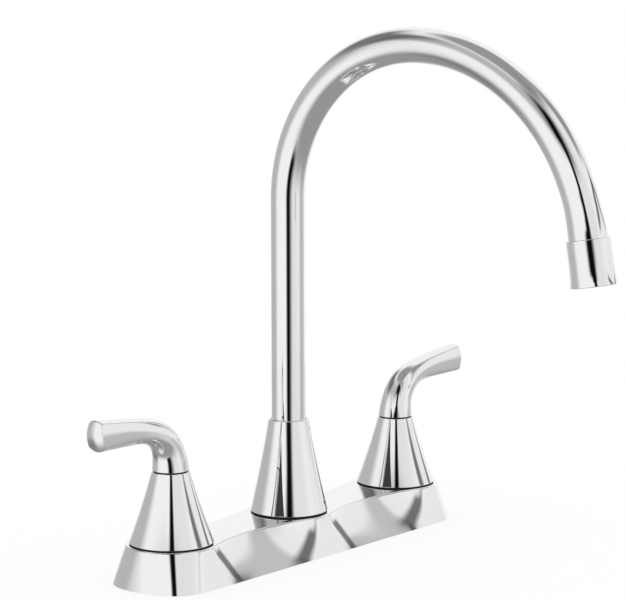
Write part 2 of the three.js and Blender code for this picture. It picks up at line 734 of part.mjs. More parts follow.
/** The lever, pointing to -X, with its stem bore and the set screw's hole on the side of screwSide. */
function lever(screwSide) {
  const curveOf = (key) => new THREE.SplineCurve(
    LEVER_STATIONS.map((station) => new THREE.Vector2(...station[key])),
  );
  const [upper, lower] = [curveOf('upper'), curveOf('lower')];
  const steps = 16;
  const spans = LEVER_STATIONS.length - 1;
  const rings = [];
  let last = null;
  for (let i = 0; i <= steps; i++) {
    const place = i / steps * spans;
    const station = Math.min(Math.floor(place), spans - 1);
    const share = place - station;
    const [a, b] = [upper.getPoint(i / steps), lower.getPoint(i / steps)];
    const round = a.distanceTo(b) / 2;
    const flats = [0, 1].map((edge) => {
      const from = LEVER_STATIONS[station].flats?.[edge] ?? round;
      const to = LEVER_STATIONS[station + 1].flats?.[edge] ?? round;
      return from + (to - from) * share;
    });
    rings.push(leverRing(a, b, flats));
    last = [a, b, flats];
  }
  const dome = new THREE.Vector2(LEVER_TIP_DOME, 0);
  rings.push(leverRing(last[0].clone().add(dome), last[1].clone().add(dome), last[2], LEVER_TIP_SCALE));
  const bore = STEM_TIP + TURN_GAP;
  const screwHeight = LEVER_BOTTOM + SCREW_HEIGHT;
  const screwHole = sideRod(SCREW_RADIUS + SLIP_GAP, 0, 2 * NECK_RADIUS, screwHeight);
  return cut(
    loft(rings),
    rod(bore, LEVER_BOTTOM - OVERRUN, LEVER_BOTTOM + LEVER_BORE_DEPTH, SMALL_STEPS),
    screwSide > 0 ? screwHole : screwHole.rotateZ(Math.PI),
  );
}

function setScrew(screwSide) {
  const tip = STEM_TIP + SLIP_GAP;
  const height = LEVER_BOTTOM + SCREW_HEIGHT;
  const socket = rod(SCREW_SOCKET, tip + SCREW_LENGTH / 2, tip + SCREW_LENGTH + OVERRUN, 6)
    .rotateX(-Math.PI / 2)
    .translate(0, 0, height);
  const screw = cut(sideRod(SCREW_RADIUS, tip, tip + SCREW_LENGTH, height), socket);
  return screwSide > 0 ? screw : screw.rotateZ(Math.PI);
}

function glideRing() {
  const sleeve = HANDLE_TOP_RADIUS - GLIDE_WALL;
  const flangeBottom = HANDLE_PEDESTAL_TOP + SEAT_GAP;
  const sleeveBottom = HANDLE_PEDESTAL_TOP - GLIDE_DEPTH + SEAT_GAP;
  const bore = STEM_HOLE + GLIDE_BORE_GAP;
  return hollow([
    [sleeve, sleeveBottom],
    [sleeve, flangeBottom],
    [NECK_RADIUS - SEAL_SETBACK, flangeBottom],
    [NECK_RADIUS - SEAL_SETBACK, flangeBottom + GLIDE_FLANGE],
    [bore, flangeBottom + GLIDE_FLANGE],
    [bore, sleeveBottom],
  ]);
}

// ---------------------------------------------------------------------------------------------
// Spout hub and the swivel joint in it
// ---------------------------------------------------------------------------------------------

const snapLow = SNAP_RING_HEIGHT - SLIP_GAP;
const snapHigh = SNAP_RING_HEIGHT + SNAP_RING_THICKNESS + SLIP_GAP;
const snapOuter = SPOUT_SOCKET + SNAP_RING_GRIP;
const adapterRoot = PLUG_CLEAR - SPOUT_O_RING;

function spoutHub() {
  const floor = FLANGE_BOTTOM + HUB_FLOOR;
  const shoulder = PLATE_CEILING - PLATE_HEADROOM / 2;
  const hub = turned([
    [0, FLANGE_BOTTOM],
    [HUB_RADIUS, FLANGE_BOTTOM],
    [HUB_RADIUS, shoulder],
    [POST_RADIUS, shoulder],
    [POST_RADIUS, SOCKET_TOP],
    [SPOUT_SOCKET, SOCKET_TOP],
    [SPOUT_SOCKET, snapHigh],
    [snapOuter, snapHigh],
    [snapOuter, snapLow],
    [SPOUT_SOCKET, snapLow],
    [SPOUT_SOCKET, SOCKET_FLOOR],
    [HUB_CHAMBER, SOCKET_FLOOR],
    [HUB_CHAMBER, floor],
    [0, floor],
  ]);
  const socket = CROSSOVER_RADIUS + SLIP_GAP;
  const port = CROSSOVER_RADIUS - CROSSOVER_WALL;
  return cut(
    hub,
    crossRod(socket, HUB_RADIUS - SOCKET_DEPTH, HUB_RADIUS + OVERRUN, CROSSOVER_HEIGHT),
    crossRod(socket, -HUB_RADIUS - OVERRUN, SOCKET_DEPTH - HUB_RADIUS, CROSSOVER_HEIGHT),
    crossRod(port, -HUB_RADIUS, HUB_RADIUS, CROSSOVER_HEIGHT),
  );
}

function wearRing() {
  const bottom = SOCKET_TOP + SEAT_GAP;
  return ring(POST_RADIUS - SEAT_GAP, PLUG_CLEAR + TURN_GAP, bottom, bottom + WEAR_RING_THICKNESS);
}

function snapRing() {
  const inner = adapterRoot + TURN_GAP;
  return cut(
    ring(snapOuter - SLIP_GAP, inner, SNAP_RING_HEIGHT, SNAP_RING_HEIGHT + SNAP_RING_THICKNESS),
    block(
      2 * snapOuter,
      SNAP_RING_GAP,
      SNAP_RING_HEIGHT - OVERRUN,
      SNAP_RING_HEIGHT + SNAP_RING_THICKNESS + OVERRUN,
    ).translate(snapOuter, 0, 0),
  );
}

function spoutAdapter() {
  const bottom = TUBE_FOOT - ADAPTER_LENGTH;
  const spigot = (TUBE_RADIUS - TUBE_WALL) * Math.cos(Math.PI / BORE_STEPS) - SLIP_GAP;
  const spigotTop = TUBE_FOOT + SPIGOT_LENGTH;
  const grooveHalf = SPOUT_O_RING / 2 + SLIP_GAP;
  const grooves = [
    ...SPOUT_O_RING_HEIGHTS.map((height) => [height - grooveHalf, height + grooveHalf]),
    [snapLow, snapHigh],
  ];
  const outside = grooves.flatMap(([low, high]) => [
    [PLUG_CLEAR, low],
    [adapterRoot, low],
    [adapterRoot, high],
    [PLUG_CLEAR, high],
  ]);
  return hollow([
    [PLUG_CLEAR, bottom],
    ...outside,
    [PLUG_CLEAR, TUBE_FOOT - SEAT_GAP],
    [spigot, TUBE_FOOT - SEAT_GAP],
    [spigot, spigotTop],
    [ADAPTER_BORE, spigotTop],
    [ADAPTER_BORE, bottom],
  ]);
}

function spoutORing(height) {
  const middle = adapterRoot + SPOUT_O_RING / 2 + SEAT_GAP;
  return roundRing(middle, SPOUT_O_RING, height);
}

// ---------------------------------------------------------------------------------------------
// Spout tube
// ---------------------------------------------------------------------------------------------

/** Stations along the spout's centre line, each { reach, height, heading, travelled }. */
function spoutLine() {
  let [reach, height, heading, travelled] = [0, RISER_TOP, Math.PI / 2, RISER_TOP - TUBE_FOOT];
  const stations = [
    { reach, height: TUBE_FOOT, heading, travelled: 0 },
    { reach, height, heading, travelled },
  ];
  for (const bend of SPOUT_BENDS) {
    const centreReach = reach + bend.radius * Math.sin(heading);
    const centreHeight = height - bend.radius * Math.cos(heading);
    const turn = THREE.MathUtils.degToRad(bend.degrees) / bend.steps;
    for (let i = 0; i < bend.steps; i++) {
      heading -= turn;
      travelled += bend.radius * turn;
      reach = centreReach - bend.radius * Math.sin(heading);
      height = centreHeight + bend.radius * Math.cos(heading);
      stations.push({ reach, height, heading, travelled });
    }
  }
  return stations;
}

const spoutStations = spoutLine();
const housingTop = spoutStations[spoutStations.length - 1];

/** A point further along the straight outlet, past the top of the aerator housing. */
function alongOutlet(distance) {
  return {
    reach: housingTop.reach + distance * Math.cos(housingTop.heading),
    height: housingTop.height + distance * Math.sin(housingTop.heading),
    heading: housingTop.heading,
    travelled: housingTop.travelled + distance,
  };
}

/** How far the tube has widened at a place along it: 0 on the plain tube, 1 at the outlet. */
function flareAt(travelled) {
  const share = (travelled - housingTop.travelled + OUTLET_FLARE_LENGTH) / OUTLET_FLARE_LENGTH;
  return THREE.MathUtils.smoothstep(share, 0, 1);
}

function spoutRing(station, inset, sides) {
  const radius = TUBE_RADIUS + (OUTLET_RADIUS - TUBE_RADIUS) * flareAt(station.travelled) - inset;
  const points = [];
  for (let i = 0; i < sides; i++) {
    const angle = 2 * Math.PI * i / sides;
    const out = radius * Math.sin(angle);
    const reach = station.reach - out * Math.sin(station.heading);
    const height = station.height + out * Math.cos(station.heading);
    points.push(new THREE.Vector3(radius * Math.cos(angle), -reach, height));
  }
  return points;
}

function spoutTube() {
  const end = alongOutlet(HOUSING_SOCKET - JOINT_GAP);
  const outside = [...spoutStations, end];
  const inside = [
    { ...spoutStations[0], height: TUBE_FOOT - OVERRUN },
    ...spoutStations.slice(1),
    alongOutlet(HOUSING_SOCKET + OVERRUN),
  ];
  return cut(
    loft(outside.map((station) => spoutRing(station, 0, ROUND_STEPS))),
    loft(inside.map((station) => spoutRing(station, TUBE_WALL, BORE_STEPS))),
  );
}

// ---------------------------------------------------------------------------------------------
// Aerator, modelled with its mouth at Z = 0 and turned onto the outlet
// ---------------------------------------------------------------------------------------------

const shoulderTop = HOUSING_LENGTH - HOUSING_SOCKET;
const shoulderBottom = shoulderTop - HOUSING_SHOULDER;
const washerBottom = shoulderBottom - JOINT_GAP - AERATOR_WASHER_THICKNESS;
const screenBottom = washerBottom - SLIP_GAP - SCREEN_THICKNESS;
const insertTop = screenBottom - SLIP_GAP;
const insertRadius = HOUSING_BORE - JOINT_GAP;

function aeratorHousing() {
  const flare = HOUSING_MOUTH_RADIUS - HOUSING_RADIUS;
  return hollow([
    [HOUSING_MOUTH_RADIUS, 0],
    ...HOUSING_FLARE.map(([share, height]) => [HOUSING_RADIUS + flare * share, height]),
    [HOUSING_RADIUS, HOUSING_LENGTH - HOUSING_EDGE],
    [HOUSING_RADIUS - HOUSING_EDGE, HOUSING_LENGTH],
    [OUTLET_RADIUS + JOINT_GAP, HOUSING_LENGTH],
    [OUTLET_RADIUS + JOINT_GAP, shoulderTop],
    [HOUSING_SHOULDER_BORE, shoulderTop],
    [HOUSING_SHOULDER_BORE, shoulderBottom],
    [HOUSING_BORE, shoulderBottom],
    [HOUSING_BORE, 0],
  ]);
}

function aeratorWasher() {
  const washerTop = washerBottom + AERATOR_WASHER_THICKNESS;
  return ring(insertRadius, HOUSING_SHOULDER_BORE - 2, washerBottom, washerTop);
}

function aeratorScreen() {
  const screenTop = screenBottom + SCREEN_THICKNESS;
  const middle = insertRadius - INSERT_WALL / 2;
  const rim = ring(insertRadius, insertRadius - INSERT_WALL, screenBottom, screenTop);
  const bars = [];
  for (let i = 0; i < SCREEN_BARS; i++) {
    const place = middle * (2 * (i + 1) / (SCREEN_BARS + 1) - 1);
    const length = 2 * Math.sqrt(middle ** 2 - place ** 2);
    const bar = block(length, SCREEN_BAR_WIDTH, screenBottom, screenTop).translate(0, place, 0);
    bars.push(bar, bar.clone().rotateZ(Math.PI / 2));
  }
  return join(rim, ...bars);
}

function aeratorInsert() {
  const faceTop = INSERT_RECESS + INSERT_FACE;
  const wall = ring(insertRadius, insertRadius - INSERT_WALL, INSERT_RECESS, insertTop);
  const middle = insertRadius / 2;
  const hoop = ring(
    middle + INSERT_RIB_WIDTH / 2, middle - INSERT_RIB_WIDTH / 2, INSERT_RECESS, faceTop,
  );
  const ribs = [];
  for (let i = 0; i < INSERT_RIBS / 2; i++) {
    ribs.push(
      block(2 * insertRadius - INSERT_WALL, INSERT_RIB_WIDTH, INSERT_RECESS, faceTop)
        .rotateZ(2 * Math.PI * i / INSERT_RIBS),
    );
  }
  return join(wall, hoop, rod(INSERT_HUB, INSERT_RECESS, faceTop, SMALL_STEPS), ...ribs);
}

// ---------------------------------------------------------------------------------------------
// Assembly
// ---------------------------------------------------------------------------------------------

/** Everything on one handle's axis. The group is turned so that the lever points away from the spout. */
function handleSet(side, x, turn, screwSide) {
  const group = new THREE.Group();
  group.position.set(x, 0, 0);
  group.rotation.z = turn;
  const name = (part) => `${side}_${part}`;
  group.add(
    piece(name('pedestal'), handlePedestal(), 'chrome'),
    piece(name('pedestal_seal'), pedestalSeal(HANDLE_FOOT_RADIUS), 'rubber'),
    piece(name('valve_body'), valveBody(), 'brass'),
    piece(name('shank_washer'), shankWasher(), 'steel'),
    piece(name('lock_nut'), lockNut(), 'whitePlastic'),
    piece(name('seat_seal'), seatSeal(), 'rubber'),
    piece(name('fixed_disc'), ceramicDisc(SHELL_BOTTOM, 0), 'ceramic'),
    piece(name('moving_disc'), ceramicDisc(MOVING_DISC_BOTTOM, Math.PI / 2), 'ceramic'),
    piece(name('cartridge_shell'), cartridgeShell(), 'brass'),
    piece(name('stem'), stem(), 'brass'),
    piece(name('stem_o_ring'), stemORing(), 'rubber'),
    piece(name('bonnet_nut'), bonnetNut(), 'brass'),
    piece(name('glide_ring'), glideRing(), 'nylon'),
    piece(name('lever'), lever(screwSide), 'chrome'),
    piece(name('set_screw'), setScrew(screwSide), 'steel'),
  );
  return group;
}

function aeratorGroup() {
  const mouth = alongOutlet(HOUSING_LENGTH);
  const group = new THREE.Group();
  group.position.set(0, -mouth.reach, mouth.height);
  group.rotation.x = -(Math.PI / 2 + mouth.heading);
  group.add(
    piece('aerator_housing', aeratorHousing(), 'chrome'),
    piece('aerator_washer', aeratorWasher(), 'rubber'),
    piece('aerator_screen', aeratorScreen(), 'steel'),
    piece('aerator_insert', aeratorInsert(), 'whitePlastic'),
  );
  return group;
}

const faucet = new THREE.Group();
faucet.add(
  piece('deck_plate', deckPlate(), 'chrome'),
  piece('deck_gasket', deckGasket(), 'rubber'),
  handleSet('hot', -HALF_SPACING, 0, 1),
  handleSet('cold', HALF_SPACING, Math.PI, -1),
  piece('hot_crossover_tube', crossoverTube().rotateZ(Math.PI), 'copper'),
  piece('cold_crossover_tube', crossoverTube(), 'copper'),
  piece('spout_hub', spoutHub(), 'brass'),
  piece('spout_pedestal', spoutPedestal(), 'chrome'),
  piece('spout_pedestal_seal', pedestalSeal(SPOUT_FOOT_RADIUS), 'rubber'),
  piece('spout_wear_ring', wearRing(), 'nylon'),
  piece('spout_snap_ring', snapRing(), 'steel'),
  piece('spout_adapter', spoutAdapter(), 'brass'),
  piece('spout_o_ring_lower', spoutORing(SPOUT_O_RING_HEIGHTS[0]), 'rubber'),
  piece('spout_o_ring_upper', spoutORing(SPOUT_O_RING_HEIGHTS[1]), 'rubber'),
  piece('spout_tube', spoutTube(), 'chrome'),
  aeratorGroup(),
);

export default faucet;
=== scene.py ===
# %% [markdown]
# # A two handle kitchen faucet in polished chrome
#
# A long cover plate on the sink's deck carries two cones with lever handles, and a taller cone with
# a high gooseneck spout. Threaded shanks hang under the deck and valve cartridges sit inside the
# cones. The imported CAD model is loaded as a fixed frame, and each piece is remade on it with smooth
# curves, eased edges and a real finish.

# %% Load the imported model
import json
import math

import bmesh
import bpy
from mathutils import Matrix, Vector

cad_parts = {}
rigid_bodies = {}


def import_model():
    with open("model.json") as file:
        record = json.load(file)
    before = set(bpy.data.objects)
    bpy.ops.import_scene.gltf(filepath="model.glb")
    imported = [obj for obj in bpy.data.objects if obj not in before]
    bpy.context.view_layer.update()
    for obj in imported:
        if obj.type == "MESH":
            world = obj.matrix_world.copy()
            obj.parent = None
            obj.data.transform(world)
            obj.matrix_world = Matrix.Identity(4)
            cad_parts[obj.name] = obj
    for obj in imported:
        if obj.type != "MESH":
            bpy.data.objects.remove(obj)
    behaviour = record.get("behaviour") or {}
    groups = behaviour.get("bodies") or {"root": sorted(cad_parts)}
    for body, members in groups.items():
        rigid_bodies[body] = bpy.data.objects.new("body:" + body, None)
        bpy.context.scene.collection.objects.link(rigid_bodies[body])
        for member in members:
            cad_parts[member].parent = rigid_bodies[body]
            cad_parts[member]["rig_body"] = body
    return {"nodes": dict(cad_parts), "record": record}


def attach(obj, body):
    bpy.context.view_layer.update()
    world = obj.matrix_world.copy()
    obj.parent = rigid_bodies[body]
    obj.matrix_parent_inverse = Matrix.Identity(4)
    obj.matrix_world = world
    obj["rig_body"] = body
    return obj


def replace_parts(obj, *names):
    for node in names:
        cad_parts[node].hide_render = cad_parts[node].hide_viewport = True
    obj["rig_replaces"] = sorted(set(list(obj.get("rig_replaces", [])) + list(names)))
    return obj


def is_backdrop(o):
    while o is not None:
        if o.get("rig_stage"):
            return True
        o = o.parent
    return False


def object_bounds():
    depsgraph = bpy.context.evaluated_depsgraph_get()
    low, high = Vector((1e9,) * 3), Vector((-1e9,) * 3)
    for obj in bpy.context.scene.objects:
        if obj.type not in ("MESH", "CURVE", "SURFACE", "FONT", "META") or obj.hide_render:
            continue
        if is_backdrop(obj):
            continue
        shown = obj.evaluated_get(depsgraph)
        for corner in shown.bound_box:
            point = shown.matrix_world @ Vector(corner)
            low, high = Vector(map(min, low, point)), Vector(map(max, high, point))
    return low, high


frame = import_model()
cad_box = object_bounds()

MM = 0.001
HALF_SPACING = 101.6
print("CAD pieces:", len(frame["nodes"]), "box:", cad_box)

# %% [markdown]
# ## The camera
#
# The picture was taken from the front left with a long lens, so upright edges stay upright. A
# camera is a matrix of the picture's right, its up and the way back from the object. Two angles and
# a distance give it, and it slides sideways until the spout falls where the picture has it.

# %% Place the camera
PICTURE_WIDTH, PICTURE_HEIGHT = 625, 600
FOCAL_PIXELS = 2692.6
DISTANCE = 1538.3 * MM
azimuth, elevation, roll = math.radians(51.05), math.radians(8.41), math.radians(0.109)
target, target_pixel = Vector((0, 0, 152 * MM)), (288.2, 287.57)

level = math.cos(elevation)
back = Vector((-math.sin(azimuth) * level, -math.cos(azimuth) * level, math.sin(elevation)))
right = Vector((math.cos(azimuth), -math.sin(azimuth), 0))
up = back.cross(right)
across = (target_pixel[0] - PICTURE_WIDTH / 2) * DISTANCE / FOCAL_PIXELS
above = (PICTURE_HEIGHT / 2 - target_pixel[1]) * DISTANCE / FOCAL_PIXELS
camera_place = target + back * DISTANCE - right * across - up * above
camera_right = right * math.cos(roll) - up * math.sin(roll)
camera_up = right * math.sin(roll) + up * math.cos(roll)

lens = bpy.data.cameras.new("photo_lens")
lens.sensor_fit = "HORIZONTAL"
lens.sensor_width = 36
lens.lens = FOCAL_PIXELS * lens.sensor_width / PICTURE_WIDTH
camera = bpy.data.objects.new("photo_camera", lens)
facing = Matrix((camera_right, camera_up, back)).transposed().to_4x4()
camera.matrix_world = Matrix.Translation(camera_place) @ facing
bpy.context.scene.collection.objects.link(camera)
bpy.context.scene.camera = camera
bpy.context.scene.view_settings.view_transform = "Standard"
print("lens", round(lens.lens, 1), "mm at", [round(value, 3) for value in camera_place])

# %% [markdown]
# ## Materials from small expressions
#
# A graph of nodes drawn by hand hides its maths, so two small classes write it. Number adds a Math
# node for each arithmetic sign, and Finish holds one material.

# %% Number and Finish
class Number:
    """A socket that can be used in Python's own arithmetic."""

    def __init__(self, finish, socket):
        self.finish, self.socket = finish, socket

    def work(self, operation, *values):
        return self.finish.node("ShaderNodeMath", {"operation": operation}, *values)

    def __add__(self, other): return self.work("ADD", self, other)
    def __sub__(self, other): return self.work("SUBTRACT", self, other)
    def __rsub__(self, other): return self.work("SUBTRACT", other, self)
    def __mul__(self, other): return self.work("MULTIPLY", self, other)
    def __truediv__(self, other): return self.work("DIVIDE", self, other)
    __radd__, __rmul__ = __add__, __mul__


class Finish:
    """One material and the nodes that make it."""

    def __init__(self, name, shader="ShaderNodeBsdfPrincipled"):
        self.material = bpy.data.materials.new(name)
        self.material.use_nodes = True
        self.tree = self.material.node_tree
        self.tree.nodes.clear()
        self.output = self.tree.nodes.new("ShaderNodeOutputMaterial")
        self.shader = self.tree.nodes.new(shader)
        self.tree.links.new(self.shader.outputs[0], self.output.inputs["Surface"])

    def link(self, socket, value):
        if isinstance(value, Number):
            self.tree.links.new(value.socket, socket)
        else:
            socket.default_value = value

    def find(self, sockets, key):
        """A socket by its place, its name or its own identifier."""
        if isinstance(key, int):
            return sockets[key]
        name = key.replace("_", " ")
        return next(one for one in sockets if key == one.identifier or name == one.name)

    def node(self, kind, settings=None, *values, output=0, **named):
        """Any node: its settings first, then its inputs by place or by name. Gives one output."""
        made = self.tree.nodes.new(kind)
        for key, value in (settings or {}).items():
            setattr(made, key, value)
        for place, value in enumerate(values):
            self.link(made.inputs[place], value)
        for name, value in named.items():
            self.link(self.find(made.inputs, name), value)
        return Number(self, self.find(made.outputs, output))

    def put(self, **sockets):
        for name, value in sockets.items():
            self.link(self.find(self.shader.inputs, name), value)

    def place(self, scale=(1, 1, 1)):
        """Object coordinates, stretched along the axes."""
        where = self.node("ShaderNodeTexCoord", output="Object")
        return self.node("ShaderNodeMapping", None, where, Scale=scale)

    def noise(self, size, detail):
        """Soft blotches about size millimetres across, from 0 to 1."""
        return self.node(
            "ShaderNodeTexNoise", None, Vector=self.place(), Scale=1 / (size * MM), Detail=detail,
        )

    def colour_between(self, mask, first, second):
        """A colour mixed from two by a mask."""
        return self.node(
            "ShaderNodeMix", {"data_type": "RGBA"}, output="Result_Color",
            Factor_Float=mask, A_Color=(*first, 1), B_Color=(*second, 1),
        )

    def bump(self, height, depth):
        """A bump of so many millimetres on the surface."""
        return self.node("ShaderNodeBump", None, Height=height, Distance=depth * MM)

    def rise(self, value, low, high):
        """A soft step from 0 to 1 between two values."""
        return self.node(
            "ShaderNodeMapRange", {"interpolation_type": "SMOOTHSTEP"},
            Value=value, From_Min=low, From_Max=high,
        )

    def clear_where(self, mask):
        """Makes the surface see-through where the mask is 1."""
        self.link(self.output.inputs["Surface"], self.node(
            "ShaderNodeMixShader", None, mask, Number(self, self.shader.outputs[0]),
            self.node("ShaderNodeBsdfTransparent"),
        ))


print("ready to write materials")

# %% [markdown]
# ## The finishes
#
# Nearly all that shows is polished chrome: a smooth mirror, a little darker than silver. Scratches
# or dirt would be wrong on it, so only its roughness varies by a hair, which breaks up the
# highlights.

# %% Polished chrome
def polished_chrome():
    finish = Finish("polished_chrome")
    haze = finish.noise(14, detail=3)
    finish.put(
        Base_Color=(0.86, 0.865, 0.875, 1), Metallic=1.0, Roughness=0.018 + haze * 0.02,
    )
    return finish.material


finishes = {"chrome": polished_chrome()}
print("made", finishes["chrome"].name)

# %% [markdown]
# Turned brass shows fine rings round its axis and a brown cast. The rings are a wave texture of the
# height, because every brass part is turned upright. Copper and steel are the same recipe, and on
# the copper the pattern is squeezed, so that fine lines run along the tubes.

# %% Turned brass, drawn copper, plated steel
def turned_metal(name, bright, dull, roughness, ring_size, stretch=(1, 1, 1)):
    finish = Finish(name)
    cast = finish.noise(6, detail=4)
    rings = finish.node(
        "ShaderNodeTexWave", {"wave_type": "BANDS", "bands_direction": "Z"},
        Vector=finish.place(stretch), Scale=1 / (ring_size * MM), Distortion=0.6, Detail=2.0,
    )
    finish.put(
        Base_Color=finish.colour_between(cast, bright, dull), Metallic=1.0,
        Roughness=roughness + (rings - 0.5) * 0.1 + (cast - 0.5) * 0.12,
        Normal=finish.bump(rings, 0.012),
    )
    return finish.material


for slot, *recipe in (
    ("brass", "turned_brass", (0.60, 0.42, 0.17), (0.42, 0.27, 0.10), 0.30, 0.9),
    ("copper", "drawn_copper", (0.62, 0.28, 0.16), (0.45, 0.18, 0.10), 0.32, 4.0, (1, 8, 8)),
    ("steel", "plated_steel", (0.52, 0.53, 0.54), (0.38, 0.39, 0.40), 0.28, 0.6),
):
    finishes[slot] = turned_metal(*recipe)
print("metals:", ", ".join(finishes))

# %% [markdown]
# Rubber, nylon, plastic and ceramic take their colour from inside. A fine speckle in the bump keeps
# rubber matt, and a slow mottle keeps pale plastic from looking flat.

# %% Rubber, nylon, white plastic and ceramic
def moulded(name, pale, dark, roughness, grain, depth):
    finish = Finish(name)
    mottle, speckle = finish.noise(9, detail=3), finish.noise(grain, detail=4)
    finish.put(
        Base_Color=finish.colour_between(mottle, pale, dark),
        Roughness=roughness + (speckle - 0.5) * 0.2,
        Normal=finish.bump(speckle, depth),
    )
    return finish.material


for slot, *recipe in (
    ("rubber", "black_rubber", (0.022, 0.022, 0.024), (0.012, 0.012, 0.013), 0.75, 0.5, 0.05),
    ("nylon", "black_nylon", (0.030, 0.030, 0.033), (0.018, 0.018, 0.020), 0.45, 0.8, 0.01),
    ("white_plastic", "white_plastic", (0.78, 0.77, 0.73), (0.72, 0.71, 0.66), 0.42, 1.2, 0.01),
    ("ceramic", "ground_ceramic", (0.84, 0.82, 0.78), (0.78, 0.76, 0.71), 0.22, 0.6, 0.004),
):
    finishes[slot] = moulded(*recipe)
print("finishes:", ", ".join(finishes))

# %% [markdown]
# ## Modelling helpers
#
# Each piece is modelled with operators, as by hand. They act on all that is selected, and the CAD
# pieces arrive selected, so start() deselects everything first. stop() closes the seams and turns
# the faces outwards, and modify() applies each modifier at once.

# %% Start, extrude, stop, modify and ease
def edit():
    """Goes into edit mode with all of the active object selected."""
    bpy.ops.object.mode_set(mode="EDIT")
    bpy.ops.mesh.select_all(action="SELECT")


def start(add, **where):
    """Adds a primitive on its own and goes into edit mode."""
    bpy.ops.object.select_all(action="DESELECT")
    add(**where)
    edit()


def extrude(x, y, z):
    """Extrudes what is selected, by millimetres along each axis."""
    bpy.ops.mesh.extrude_region_move(TRANSFORM_OT_translate={"value": (x * MM, y * MM, z * MM)})


def stop(merge=0.0002):
    """Merges doubles, turns the faces outwards and leaves edit mode."""
    bpy.ops.mesh.select_all(action="SELECT")
    bpy.ops.mesh.remove_doubles(threshold=merge * MM)
    bpy.ops.mesh.normals_make_consistent(inside=False)
    bpy.ops.object.mode_set(mode="OBJECT")
    return bpy.context.object


def activate(piece):
    """Makes an object the only selected one and the active one."""
    bpy.ops.object.select_all(action="DESELECT")
    piece.select_set(True)
    bpy.context.view_layer.objects.active = piece


def modify(kind, **settings):
    """Adds a modifier to the active object, sets it and applies it."""
    bpy.ops.object.modifier_add(type=kind)
    modifier = bpy.context.object.modifiers[-1]
    for key, value in settings.items():
        setattr(modifier, key, value)
    bpy.ops.object.modifier_apply(modifier=modifier.name)


def ease(width, segments=3, angle=40):
    """Rounds the edges that are sharper than an angle, by a width in millimetres."""
    bpy.ops.object.shade_smooth_by_angle(angle=math.radians(angle))
    modify(
        "BEVEL", width=width * MM, segments=segments, limit_method="ANGLE",
        angle_limit=math.radians(angle), harden_normals=True,
    )


print("ready to model")

# %% [markdown]
# keep() brings a finished piece's origin to the world's, gives it its finish and says which CAD
# node it stands for. What comes hot and cold is modelled once and copied with its own mesh: moved
# over where it is round, mirrored where one side of it faces the spout.

# %% Keep a piece, or a pair of them
def stand_for(piece, name, node):
    """Names a piece and says which CAD node it stands for and rides with."""
    piece.name = piece.data.name = name
    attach(piece, frame["nodes"][node]["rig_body"])
    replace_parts(piece, node)


def keep(name, node, finish, smooth=None):
    """Finishes the active object as a piece."""
    bpy.ops.object.transform_apply(location=True, rotation=True, scale=True)
    piece = bpy.context.object
    if smooth:
        bpy.ops.object.shade_smooth_by_angle(angle=math.radians(smooth))
    piece.data.materials.clear()
    piece.data.materials.append(finishes[finish])
    stand_for(piece, name, node)
    size = " x ".join(f"{value / MM:.1f}" for value in piece.dimensions)
    print(f"{name}: {size} mm, {len(piece.data.polygons)} faces")
    return piece


def keep_both(name, node, finish, smooth=None, mirrored=False, sides=("hot", "cold")):
    """Keeps the active object as one side's piece and a copy of it as the other side's."""
    first, second = sides
    activate(keep(f"{name}_{first}", f"{first}_{node}", finish, smooth))
    bpy.ops.object.duplicate(linked=False)
    copy = bpy.context.object
    copy.parent = None
    if mirrored:
        copy.matrix_world = Matrix.Scale(-1, 4, (1, 0, 0))
    else:
        copy.matrix_world = Matrix.Translation((2 * HALF_SPACING * MM, 0, 0))
    del copy["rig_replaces"]
    bpy.ops.object.transform_apply(location=True, rotation=True, scale=True)
    if mirrored:
        edit()
        stop()
    stand_for(copy, f"{name}_{second}", f"{second}_{node}")
    print(copy.name, "mirrored" if mirrored else "moved over")


print("ready to keep pieces")

# %% [markdown]
# ## Turning on a lathe
#
# Most pieces start as a circle, which is extruded to the next height and scaled to the next radius
# until the profile is done. A drawn profile could be spun, but a table of radius and height is
# easier to read. A hollow piece comes back to its first circle, and a solid one starts filled.

# %% Turn a profile
def turn(profile, at=(0, 0), steps=96, solid=False):
    """Turns a profile of (radius, height) in millimetres about an upright axis."""
    x, y = at[0] * MM, at[1] * MM
    (radius, height), *rest = profile
    start(
        bpy.ops.mesh.primitive_circle_add, vertices=steps, radius=radius * MM,
        fill_type="NGON" if solid else "NOTHING", location=(x, y, height * MM),
    )
    for next_radius, next_height in rest if solid else rest + [profile[0]]:
        extrude(0, 0, next_height - height)
        share, centre = next_radius / radius, (x, y, next_height * MM)
        bpy.ops.transform.resize(value=(share, share, 1), center_override=centre)
        radius, height = next_radius, next_height
    piece = stop()
    bpy.ops.object.transform_apply(location=True, rotation=False, scale=False)
    return piece


def rod(radius, low, high, at=(0, 0), steps=48):
    """A plain round rod between two heights, mostly to cut a hole with."""
    return turn([(radius, low), (radius, high)], at, steps, solid=True)


def ring(outer, inner, low, high, at=(0, 0), steps=96):
    """A flat ring between two radii and two heights."""
    return turn([(outer, low), (outer, high), (inner, high), (inner, low)], at, steps)


def lay(piece, about, place):
    """Lays an upright piece down: about x to point to the back, about y to point to +X."""
    piece.rotation_euler = (-math.pi / 2, 0, 0) if about == "x" else (0, math.pi / 2, 0)
    piece.location = [value * MM for value in place]
    return piece


print("ready to turn")

# %% [markdown]
# ## The cover plate
#
# The plate's outline is plain at the deck, but its top edge waves in between the cones, so the long
# sides are twisted and bend the reflections into crescents. No primitive has that shape. Its rings
# follow a formula: lobes about the cones, fillets between them, and a superellipse at each end.

# %% The outlines of the plate
PLATE_TOP = 22.0
END_STEPS, SIDE_STEPS = 48, 112


